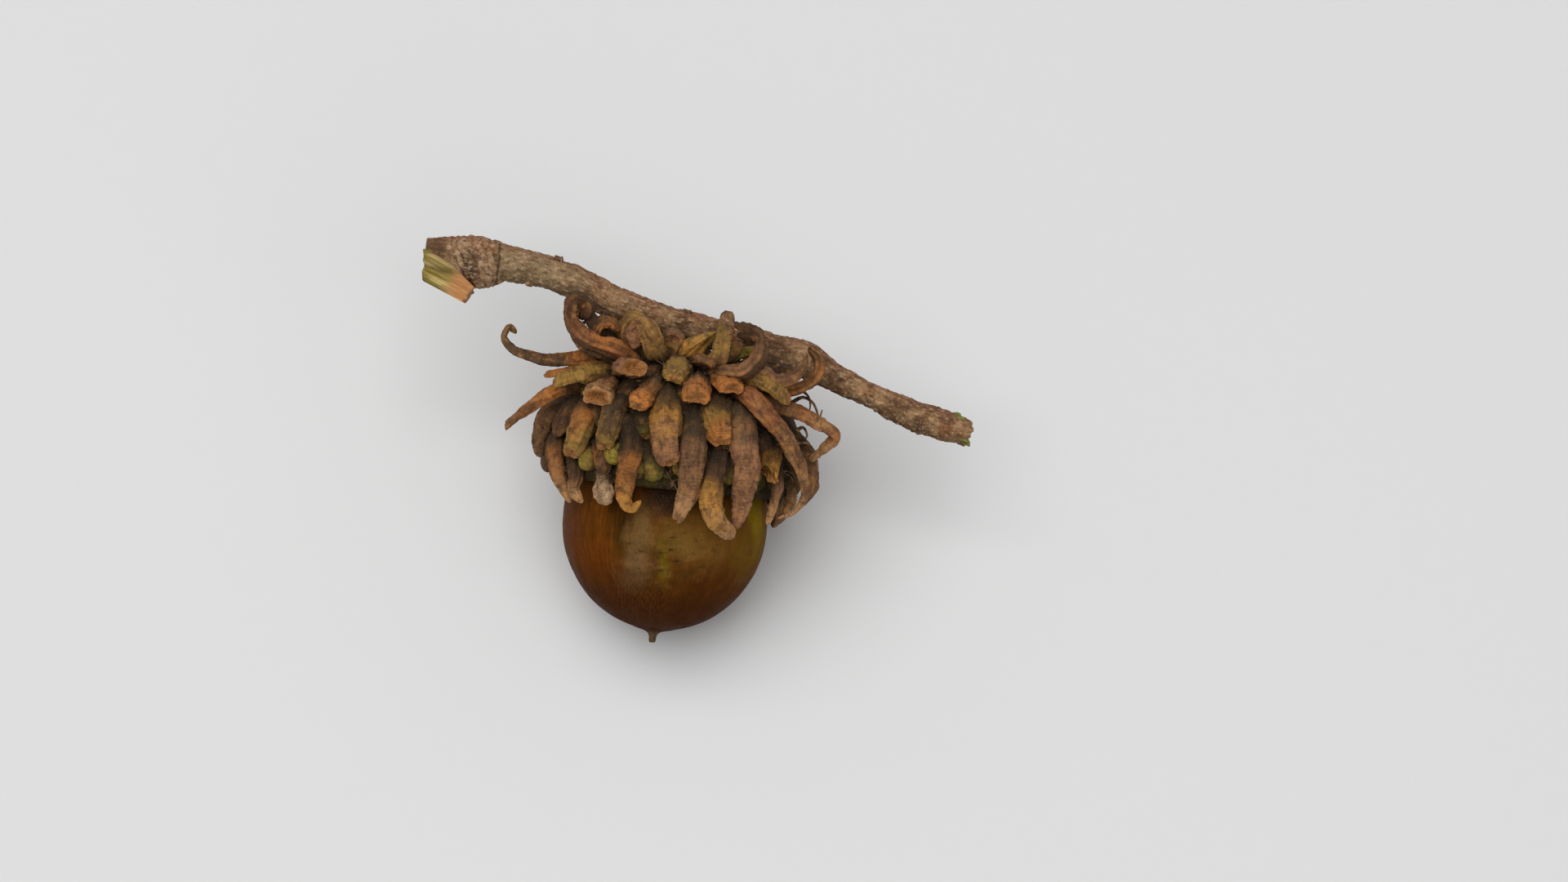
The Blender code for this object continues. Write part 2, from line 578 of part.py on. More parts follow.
def make_cup():
    rim_height, rim_radius = CUP_OUTSIDE[0]
    profile = [(0.0, rim_height), (rim_radius, rim_height)]
    profile += [(radius, height) for height, radius in CUP_OUTSIDE[1:]]
    profile.append((0.0, CUP_OUTSIDE[-1][0]))
    base = hidden_object("cup_body", turned(profile, CUP_SIDES))
    scales = [hidden_object(f"scale_{k}", scale_solid(*s)) for k, s in enumerate(all_scales())]
    body = hidden_object("cup_union", joined(base, scales, "UNION"))
    cutters = [
        hidden_object("nut_room", turned(nut_profile(GAP), NUT_SIDES)),
        hidden_object("twig_room", whole_twig(GAP)),
        hidden_object("slab", table_slab()),
    ]
    cut = one_body(joined(body, cutters, "DIFFERENCE"))
    return finish("cup", cut, material("cup_scales", (0.17, 0.085, 0.035), 0.8))


def make_twig():
    return finish("twig", whole_twig(), material("twig_bark", (0.13, 0.08, 0.05), 0.85), 60.0)


for old in list(bpy.data.objects):
    bpy.data.objects.remove(old)
make_nut()
make_cup()
make_twig()
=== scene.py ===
import functools
import math
import random

import bmesh
import bpy
import numpy as np
from mathutils import Matrix, Quaternion, Vector, noise


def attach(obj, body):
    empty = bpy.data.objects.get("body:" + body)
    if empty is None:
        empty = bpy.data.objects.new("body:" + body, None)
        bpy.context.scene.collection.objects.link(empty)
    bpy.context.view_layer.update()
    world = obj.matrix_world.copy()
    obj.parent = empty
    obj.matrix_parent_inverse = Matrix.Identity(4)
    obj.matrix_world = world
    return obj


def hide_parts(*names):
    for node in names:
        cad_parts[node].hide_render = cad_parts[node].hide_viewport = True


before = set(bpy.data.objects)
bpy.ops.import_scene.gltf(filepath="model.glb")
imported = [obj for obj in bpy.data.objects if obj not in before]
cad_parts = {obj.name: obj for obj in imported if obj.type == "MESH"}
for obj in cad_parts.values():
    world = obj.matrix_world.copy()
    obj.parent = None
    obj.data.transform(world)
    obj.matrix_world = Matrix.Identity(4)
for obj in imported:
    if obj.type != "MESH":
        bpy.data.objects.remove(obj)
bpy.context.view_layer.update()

# The nut
# The oak's round seed in its thin, hard shell, brown with olive and orange where it ripened last.
# It grew in the cup, which still holds it, and it ends in a short dry point.

# The plant is made in millimetres as the picture shows it, X to the right, Y up and Z to the
# viewer, and is then laid on its side.
MM = 0.001
AXIS_LEAN = math.radians(6.1)  # of the nut's own axis, to the right of plant Y
REST_LEAN = math.radians(22.0)  # of the plant when it lies, nut point down
REST_PRESS = 0.08  # how deep the nut's flat spot is
NUT_RADIUS = 10.7
NUT_POINT_LENGTH = 11.3
NUT_BASE_LENGTH = 13.5
NUT_SCAR_HEIGHT = 12.0
NUT_SCAR = [(2.5, 0.1), (0.0, 0.12)]  # radius, and height over the scar's edge
NUT_SIDES = 160
NUT_RINGS = (44, 30)  # under its widest place and over it
NUT_WAVES = [(0.22, 0.1), (0.8, 0.025)]  # how close together they are, and how high
SMOOTH_POINT_RADIUS = 2.0
# The dry point, as radius and height on the nut's axis
NUT_POINT = [
    (0.0, -12.6), (0.2, -12.6), (0.31, -12.56), (0.36, -12.4), (0.37, -12.15), (0.41, -11.9),
    (0.52, -11.68), (0.74, -11.5), (1.05, -11.37), (1.45, -11.27), (1.9, -11.17),
]

AXIS = Vector((math.sin(AXIS_LEAN), math.cos(AXIS_LEAN), 0.0))
ON_AXIS = Matrix.Rotation(-AXIS_LEAN, 4, "Z") @ Matrix.Rotation(-math.pi / 2, 4, "X")
UP = Vector((0.0, math.sin(REST_LEAN), math.cos(REST_LEAN)))


def resting_point():
    """Where the nut's lower half is lowest once the plant lies down."""
    down = -UP
    along = down.dot(AXIS)
    across = down - AXIS * along
    reach = math.sqrt((NUT_POINT_LENGTH * along) ** 2 + (NUT_RADIUS * across.length) ** 2)
    return (AXIS * (along * NUT_POINT_LENGTH**2) + across * NUT_RADIUS**2) / reach


TABLE = resting_point() + UP * REST_PRESS
LAID_DOWN = Matrix.Scale(MM, 4) @ Matrix.Rotation(REST_LEAN, 4, "X") @ Matrix.Translation(-TABLE)


class Value:
    """One output in a finish. A sum on it adds a Math node."""

    def __init__(self, finish, socket):
        self.finish = finish
        self.socket = socket

    def sum(self, operation, *others, turned=False):
        terms = (*others, self) if turned else (self, *others)
        return self.finish.add("ShaderNodeMath", {"operation": operation}, dict(enumerate(terms)))

    def __add__(self, other):
        return self.sum("ADD", other)

    __radd__ = __add__

    def __mul__(self, other):
        return self.sum("MULTIPLY", other)

    __rmul__ = __mul__

    def __sub__(self, other):
        return self.sum("SUBTRACT", other)

    def __rsub__(self, other):
        return self.sum("SUBTRACT", other, turned=True)

    def __truediv__(self, other):
        return self.sum("DIVIDE", other)

    def __rtruediv__(self, other):
        return self.sum("DIVIDE", other, turned=True)

    def __pow__(self, other):
        return self.sum("POWER", other)

    def most(self, other):
        return self.sum("MAXIMUM", other)

    def least(self, other):
        return self.sum("MINIMUM", other)

    def rise(self, low, high):
        """0 below low and 1 above high, with a smooth step between them, or the other way round."""
        return self.finish.add(
            "ShaderNodeMapRange", {"interpolation_type": "SMOOTHSTEP"},
            {"Value": self, "From Min": low, "From Max": high},
        )


class Finish:
    """One material, and the nodes in front of its shader."""

    def __init__(self, name, **even):
        self.material = bpy.data.materials.new(name)
        self.material.use_nodes = True
        self.nodes = self.material.node_tree.nodes
        self.links = self.material.node_tree.links
        self.shader = self.nodes["Principled BSDF"]
        for socket, value in even.items():
            self.shader.inputs[socket.replace("_", " ")].default_value = value

    def add(self, kind, settings, inputs, output=0):
        """A node with its settings made first, then its inputs fed. Gives one of its outputs."""
        node = self.nodes.new(kind)
        for setting, value in settings.items():
            setattr(node, setting, value)
        for socket, value in inputs.items():
            self.feed(node.inputs[socket], value)
        return Value(self, node.outputs[output])

    def feed(self, socket, value):
        if isinstance(value, Value):
            self.links.new(value.socket, socket)
        elif socket.type == "RGBA" and len(value) == 3:
            socket.default_value = (*value, 1.0)
        else:
            socket.default_value = value

    def look(self, **inputs):
        for socket, value in inputs.items():
            self.feed(self.shader.inputs[socket.replace("_", " ")], value)

    def seen_from(self, matrix):
        """Object coordinates taken through a matrix that turns, moves and sizes."""
        place, turn, size = matrix.decompose()
        coordinates = self.add("ShaderNodeTexCoord", {}, {}, "Object")
        return self.add(
            "ShaderNodeMapping", {"vector_type": "POINT"},
            {"Vector": coordinates, "Location": place, "Rotation": turn.to_euler(), "Scale": size},
        )

    def stretched(self, vector, scale, shift=(0.0, 0.0, 0.0)):
        """A vector times a scale for each of its numbers, plus a shift."""
        return self.add(
            "ShaderNodeVectorMath", {"operation": "MULTIPLY_ADD"}, {0: vector, 1: scale, 2: shift}
        )

    def parts(self, vector):
        return [self.add("ShaderNodeSeparateXYZ", {}, {"Vector": vector}, k) for k in range(3)]

    def cloud(
        self, vector, scale, detail=3.0, roughness=0.55, stretch=None, shift=(0.0, 0.0, 0.0),
        distortion=0.0,
    ):
        """Soft noise from 0 to 1, about 0.5 on average."""
        if stretch:
            vector = self.stretched(vector, stretch, shift)
        return self.add(
            "ShaderNodeTexNoise", {},
            {"Vector": vector, "Scale": scale, "Detail": detail, "Roughness": roughness,
             "Distortion": distortion},
        )

    def spots(self, vector, scale):
        """The distance to the middle of the nearest of many scattered spots."""
        return self.add(
            "ShaderNodeTexVoronoi", {"feature": "F1"}, {"Vector": vector, "Scale": scale}, "Distance"
        )

    def attribute(self, name, output):
        return self.add("ShaderNodeAttribute", {"attribute_name": name}, {}, output)

    def mix(self, share, first, second, way="MIX"):
        """One colour laid over another by a share."""
        return self.add(
            "ShaderNodeMix", {"data_type": "RGBA", "blend_type": way, "clamp_factor": True},
            {0: share, 6: first, 7: second}, 2,
        )

    def layered(self, colour, *layers):
        """A colour with others laid over it in turn, each by its own share."""
        for share, over in layers:
            colour = self.mix(share, colour, over)
        return colour

    def shade(self, colour, share):
        """A colour made lighter or darker by a value about 1."""
        grey = self.add("ShaderNodeCombineXYZ", {}, {0: share, 1: share, 2: share})
        return self.mix(1.0, colour, grey, "MULTIPLY")

    def relief(self, height, depth):
        """The bumps of a height from 0 to 1, depth metres high."""
        return self.add(
            "ShaderNodeBump", {}, {"Height": height, "Strength": 1.0, "Distance": depth}, "Normal"
        )


def tone(red, green, blue):
    """A colour for a shader from the 0 to 255 of a screen."""
    shares = [v / 255 for v in (red, green, blue)]
    return tuple(s / 12.92 if s <= 0.04045 else ((s + 0.055) / 1.055) ** 2.4 for s in shares)


def turned(profile, sides):
    """A shape turned round Z, from the radius and height of each point of its profile."""
    shape = bmesh.new()
    chain = [shape.verts.new((radius, 0.0, height)) for radius, height in profile]
    edges = [shape.edges.new(pair) for pair in zip(chain, chain[1:])]
    bmesh.ops.spin(
        shape, geom=chain + edges, cent=(0, 0, 0), axis=(0, 0, 1), angle=2 * math.pi,
        steps=sides, use_merge=True, use_duplicate=False,
    )
    bmesh.ops.remove_doubles(shape, verts=shape.verts, dist=1e-4)
    bmesh.ops.recalc_face_normals(shape, faces=shape.faces)
    return shape


def lie_on_table(shape):
    """Presses flat what would reach into the surface that the plant lies on."""
    for vert in shape.verts:
        low = (vert.co - TABLE).dot(UP)
        if low < 0:
            vert.co -= UP * low


def stand(name, data):
    """A new object of the scene, for a mesh, a lamp or a camera."""
    thing = bpy.data.objects.new(name, data)
    bpy.context.scene.collection.objects.link(thing)
    return thing


def place(name, mesh, finish, slot, node):
    """A mesh in plant millimetres becomes a piece of the acorn that stands for a CAD node."""
    mesh.transform(LAID_DOWN)
    mesh.materials.clear()
    mesh.materials.append(finish.material)
    mesh.shade_smooth()
    piece = stand(name, mesh)
    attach(piece, "root")
    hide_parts(node)


def as_mesh(name, shape):
    mesh = bpy.data.meshes.new(name)
    shape.to_mesh(mesh)
    shape.free()
    return mesh


def nut_mesh():
    low = math.acos(NUT_POINT[-1][0] / NUT_RADIUS)
    high = math.asin(NUT_SCAR_HEIGHT / NUT_BASE_LENGTH)
    profile = list(NUT_POINT)
    for t in np.linspace(low, 0.0, NUT_RINGS[0])[1:]:
        profile.append((NUT_RADIUS * math.cos(t), -NUT_POINT_LENGTH * math.sin(t)))
    for t in np.linspace(0.0, high, NUT_RINGS[1])[1:]:
        profile.append((NUT_RADIUS * math.cos(t), NUT_BASE_LENGTH * math.sin(t)))
    profile += [(radius, NUT_SCAR_HEIGHT + rise) for radius, rise in NUT_SCAR]
    shape = turned(profile, NUT_SIDES)
    for vert in shape.verts:
        away = Vector((vert.co.x, vert.co.y, 0.0))
        if away.length > SMOOTH_POINT_RADIUS:
            waves = sum(noise.noise(vert.co * close) * height for close, height in NUT_WAVES)
            vert.co += away.normalized() * waves
    shape.transform(ON_AXIS)
    lie_on_table(shape)
    return as_mesh("nut", shape)


# What the ripening left on the front of the shell: colour, place on the plant, half width, half
# height and strength
NUT_MARKS = [
    (tone(98, 58, 38), -10.2, -1.0, 1.9, 8.5, 0.8),
    (tone(98, 54, 12), -7.3, 0.6, 2.1, 4.6, 0.7),
    (tone(112, 58, 14), -7.0, -4.2, 2.4, 3.8, 0.7),
    (tone(54, 38, 14), -4.4, 0.4, 1.2, 3.4, 0.8),
    (tone(132, 102, 58), -2.2, -0.2, 1.5, 2.4, 0.6),
    (tone(120, 92, 54), -2.4, -2.7, 1.7, 2.6, 0.6),
    (tone(128, 98, 62), -3.1, -5.1, 1.7, 2.2, 0.8),
    (tone(122, 86, 36), 4.4, -1.2, 4.6, 4.0, 0.75),
    (tone(112, 84, 34), 1.6, -1.6, 2.4, 2.0, 0.6),
    (tone(128, 106, 26), 0.1, -4.4, 0.7, 2.4, 0.7),
    (tone(138, 112, 16), 9.6, 0.7, 0.8, 4.4, 0.9),
    (tone(106, 78, 20), 8.8, -3.4, 1.6, 3.6, 0.6),
]
# Where it has fine dots, dark specks and haze, lengthwise streaks, and fine stripes near its point
STIPPLED = (0.4, 2.5, 2.7, 2.0)
SMUDGED = (0.4, -3.2, 5.8, 3.6)
STREAKED = (-7.2, 0.6, 2.6, 5.5)
STRIPED = (-2.4, -7.4, 4.2, 2.6)


def nut_finish():
    shell = Finish("nut_shell", Specular_IOR_Level=0.012, IOR=1.45)
    plant = shell.seen_from(LAID_DOWN.inverted())
    own = shell.seen_from(ON_AXIS.inverted() @ LAID_DOWN.inverted())
    x, y, z = shell.parts(plant)
    across, depth, height = shell.parts(own)
    # the lines along the shell all run to its point
    away = 1.0 / ((across * across + depth * depth) ** 0.5).most(0.2)
    meridian = shell.add(
        "ShaderNodeCombineXYZ", {}, {0: across * away, 1: depth * away, 2: height * 0.025}
    )
    fine_lines = shell.cloud(meridian, 90.0, 2.0, 0.5)
    broad_lines = shell.cloud(meridian, 11.0, 5.0, 0.65)
    long_lines = shell.cloud(meridian, 34.0, 5.0, 0.7, (1.0, 1.0, 0.35))
    drift = shell.cloud(plant, 0.5, 5.0, 0.65, (1.0, 0.55, 1.0))
    drift_up = shell.cloud(plant, 0.5, 5.0, 0.65, (1.0, 0.7, 1.0), (9.0, 4.0, 2.0))
    specks = shell.cloud(plant, 0.8, 5.0, 0.6, (1.1, 2.4, 1.0), (1.0, 5.0, 2.0))
    haze = shell.cloud(plant, 0.62, 5.0, 0.62, (0.8, 1.5, 1.0), (6.0, 2.0, 7.0))
    smudges = shell.cloud(plant, 0.9, 5.0, 0.65, (0.7, 1.3, 1.0), (3.0, 3.0, 3.0))
    dust = shell.cloud(own, 0.5, 5.0, 0.65).rise(0.4, 0.64)
    grain = shell.cloud(own, 1.0, 3.0, stretch=(6.0, 6.0, 1.4))
    dots = shell.spots(shell.stretched(own, (1.0, 1.0, 0.7)), 6.4)
    front = z.rise(-1.0, 4.0)
    point = height.rise(-11.25, -11.6)

    def inside(at_x, at_y, wide, high):
        """Whether a place is in a soft uneven oval on the front."""
        off_x = (x + (drift - 0.5) * min(3.6, 2.6 * wide) - at_x) / wide
        off_y = (y + (drift_up - 0.5) * min(4.0, 2.6 * high) - at_y) / high
        return ((off_x * off_x + off_y * off_y) ** 0.5).rise(1.45, 0.25) * front

    smudged = inside(*SMUDGED)
    stippled = shell.mix(dots.rise(0.14, 0.36), tone(88, 68, 52), tone(46, 32, 22))
    striped = shell.mix(fine_lines.rise(0.42, 0.6), tone(48, 23, 8), tone(112, 72, 36))
    streaked = shell.mix(long_lines.rise(0.4, 0.6), tone(66, 38, 10), tone(126, 68, 14))
    colour = shell.layered(
        shell.mix(shell.cloud(own, 0.18, 4.0).rise(0.36, 0.64), tone(84, 46, 12), tone(102, 62, 16)),
        (broad_lines.rise(0.42, 0.7) * 0.5, tone(120, 70, 20)),
        (shell.cloud(own, 0.4, 4.0).rise(0.52, 0.75) * 0.4, tone(86, 72, 26)),
        *[(inside(*oval) * strength, mark) for mark, *oval, strength in NUT_MARKS],
        (inside(*STIPPLED) * 0.95, stippled),
        # painted shade: the shell is made dark towards its point, where less light falls
        (height.rise(-2.5, -9.2) * 0.88, tone(60, 27, 5)),
        (smudged * specks.rise(0.58, 0.68) * 0.75, tone(48, 36, 14)),
        (smudged * haze.rise(0.5, 0.62) * 0.45, tone(66, 48, 18)),
        (smudged * haze.rise(0.47, 0.36) * 0.3, tone(140, 106, 60)),
        (inside(*STRIPED) * 0.26, striped),
        (inside(*STREAKED) * 0.45, streaked),
    )
    colour = shell.shade(colour, 0.26 + fine_lines * 0.5 + broad_lines * 0.4 + smudges * 0.36)
    # it is darker where the cup shades it
    colour = shell.shade(colour, 0.4 + height.rise(5.4, 1.4) * 0.6)
    colour = shell.layered(
        colour,
        (dots.rise(0.1, 0.05) * broad_lines.rise(0.45, 0.62) * 0.35, tone(150, 112, 70)),
        (point, shell.mix(grain.rise(0.3, 0.7), tone(62, 46, 32), tone(122, 98, 70))),
    )
    bumps = fine_lines * 0.5 + shell.cloud(own, 5.0, 4.0) * 0.6 + point * grain * 4.0
    shell.look(
        Base_Color=colour, Roughness=0.42 + dust * 0.18 + point * 0.3,
        Normal=shell.relief(bumps, 0.00006),
    )
    return shell


place("nut_shell", nut_mesh(), nut_finish(), "nut_shell", "nut")

# The cup's wall
# A thick woody bowl, felted with short grey-brown hairs, with a stub that joins it to the twig.
# Most of it is hidden by the scales that grow out of it.

# Heights on the nut's axis and radii, from the rim to the end of the stub
CUP_OUTSIDE = [
    (3.6, 11.5), (4.6, 12.1), (6.6, 12.4), (8.8, 12.1), (11.0, 11.1), (13.0, 9.6), (15.0, 7.4),
    (16.5, 5.0), (17.6, 3.4), (19.6, 2.3),
]
CUP_SIDES = 150
CUP_INSIDE_RINGS = 16
CUP_INSIDE_TOP = 11.6
CUP_INSIDE_RIM = 3.9
CUP_FLOOR_RADIUS = 4.4
NUT_ROOM = 0.25  # round the nut
SCAR_ROOM = 0.4  # above its scar
CUP_WAVES = 0.3  # how high
SMOOTH_STUB_RADIUS = 3.39


def smooth_line(points, samples=12):
    """Many places on a smooth curve through the points. Each point may carry more numbers along."""
    points = [np.array(p, float) for p in points]
    ends = [2 * points[0] - points[1], *points, 2 * points[-1] - points[-2]]
    t = np.linspace(0.0, 1.0, samples, endpoint=False)[:, None]
    runs = [
        0.5 * (2 * b + (c - a) * t + (2 * a - 5 * b + 4 * c - d) * t**2 + (3 * b - a - 3 * c + d) * t**3)
        for a, b, c, d in zip(ends, ends[1:], ends[2:], ends[3:])
    ]
    return np.vstack([*runs, points[-1]])


def cup_mesh():
    outside = smooth_line(CUP_OUTSIDE, 5)
    high = math.asin(CUP_INSIDE_TOP / NUT_BASE_LENGTH)
    low = math.asin(CUP_INSIDE_RIM / NUT_BASE_LENGTH)
    inside = [
        (NUT_RADIUS * math.cos(t) + NUT_ROOM, NUT_BASE_LENGTH * math.sin(t))
        for t in np.linspace(high, low, CUP_INSIDE_RINGS)
    ]
    floor_height = NUT_SCAR_HEIGHT + SCAR_ROOM
    profile = [(0.0, floor_height), (CUP_FLOOR_RADIUS, floor_height), *inside]
    profile += [(radius, height) for height, radius in outside]
    profile.append((0.0, CUP_OUTSIDE[-1][0]))
    shape = turned(profile, CUP_SIDES)
    for vert in shape.verts:
        away = Vector((vert.co.x, vert.co.y, 0.0))
        if away.length > SMOOTH_STUB_RADIUS and vert.normal.dot(away) > 0:
            waves = noise.fractal(vert.co * 0.9, 0.8, 2.0, 3) * CUP_WAVES
            vert.co += away.normalized() * waves
    shape.transform(ON_AXIS)
    lie_on_table(shape)
    return as_mesh("cup_wall", shape)


def felt_finish():
    felt = Finish("cup_felt", Roughness=0.95, Specular_IOR_Level=0.12)
    plant = felt.seen_from(LAID_DOWN.inverted())
    own = felt.seen_from(ON_AXIS.inverted() @ LAID_DOWN.inverted())
    height = felt.parts(own)[2]
    colour = felt.mix(felt.cloud(plant, 0.7, 4.0).rise(0.35, 0.65), tone(46, 33, 22), tone(84, 68, 48))
    green = felt.cloud(plant, 0.55, 3.0).rise(0.5, 0.6) * height.rise(7.4, 5.6)
    colour = felt.mix(green * 0.8, colour, tone(88, 76, 30))
    colour = felt.shade(colour, felt.cloud(plant, 4.0, 4.0) * 1.3)
    felt.look(
        Base_Color=colour,
        Normal=felt.relief(felt.cloud(plant, 7.0, 4.0, 0.7), 0.00012),
    )
    return felt


place("cup_wall", cup_mesh(), felt_finish(), "cup_scales", "cup")

# The scales
# Stout leathery strips that grew out of the wall in rings, felted at their roots. The long ones
# hang over the nut or curl up at the twig, and many are dried, split or broken off short.
TINTS = {
    "black": tone(50, 36, 22),
    "dark": tone(82, 58, 36),
    "felt": tone(98, 78, 54),
    "brown": tone(122, 86, 54),
    "purple": tone(124, 84, 60),
    "red": tone(154, 94, 56),
    "orange": tone(184, 114, 54),
    "ochre": tone(192, 136, 58),
    "olive": tone(150, 116, 56),
    "green": tone(140, 124, 46),
    "pink": tone(152, 106, 72),
    "tan": tone(176, 132, 86),
    "pale": tone(192, 158, 120),
    "lime": tone(172, 148, 54),
}
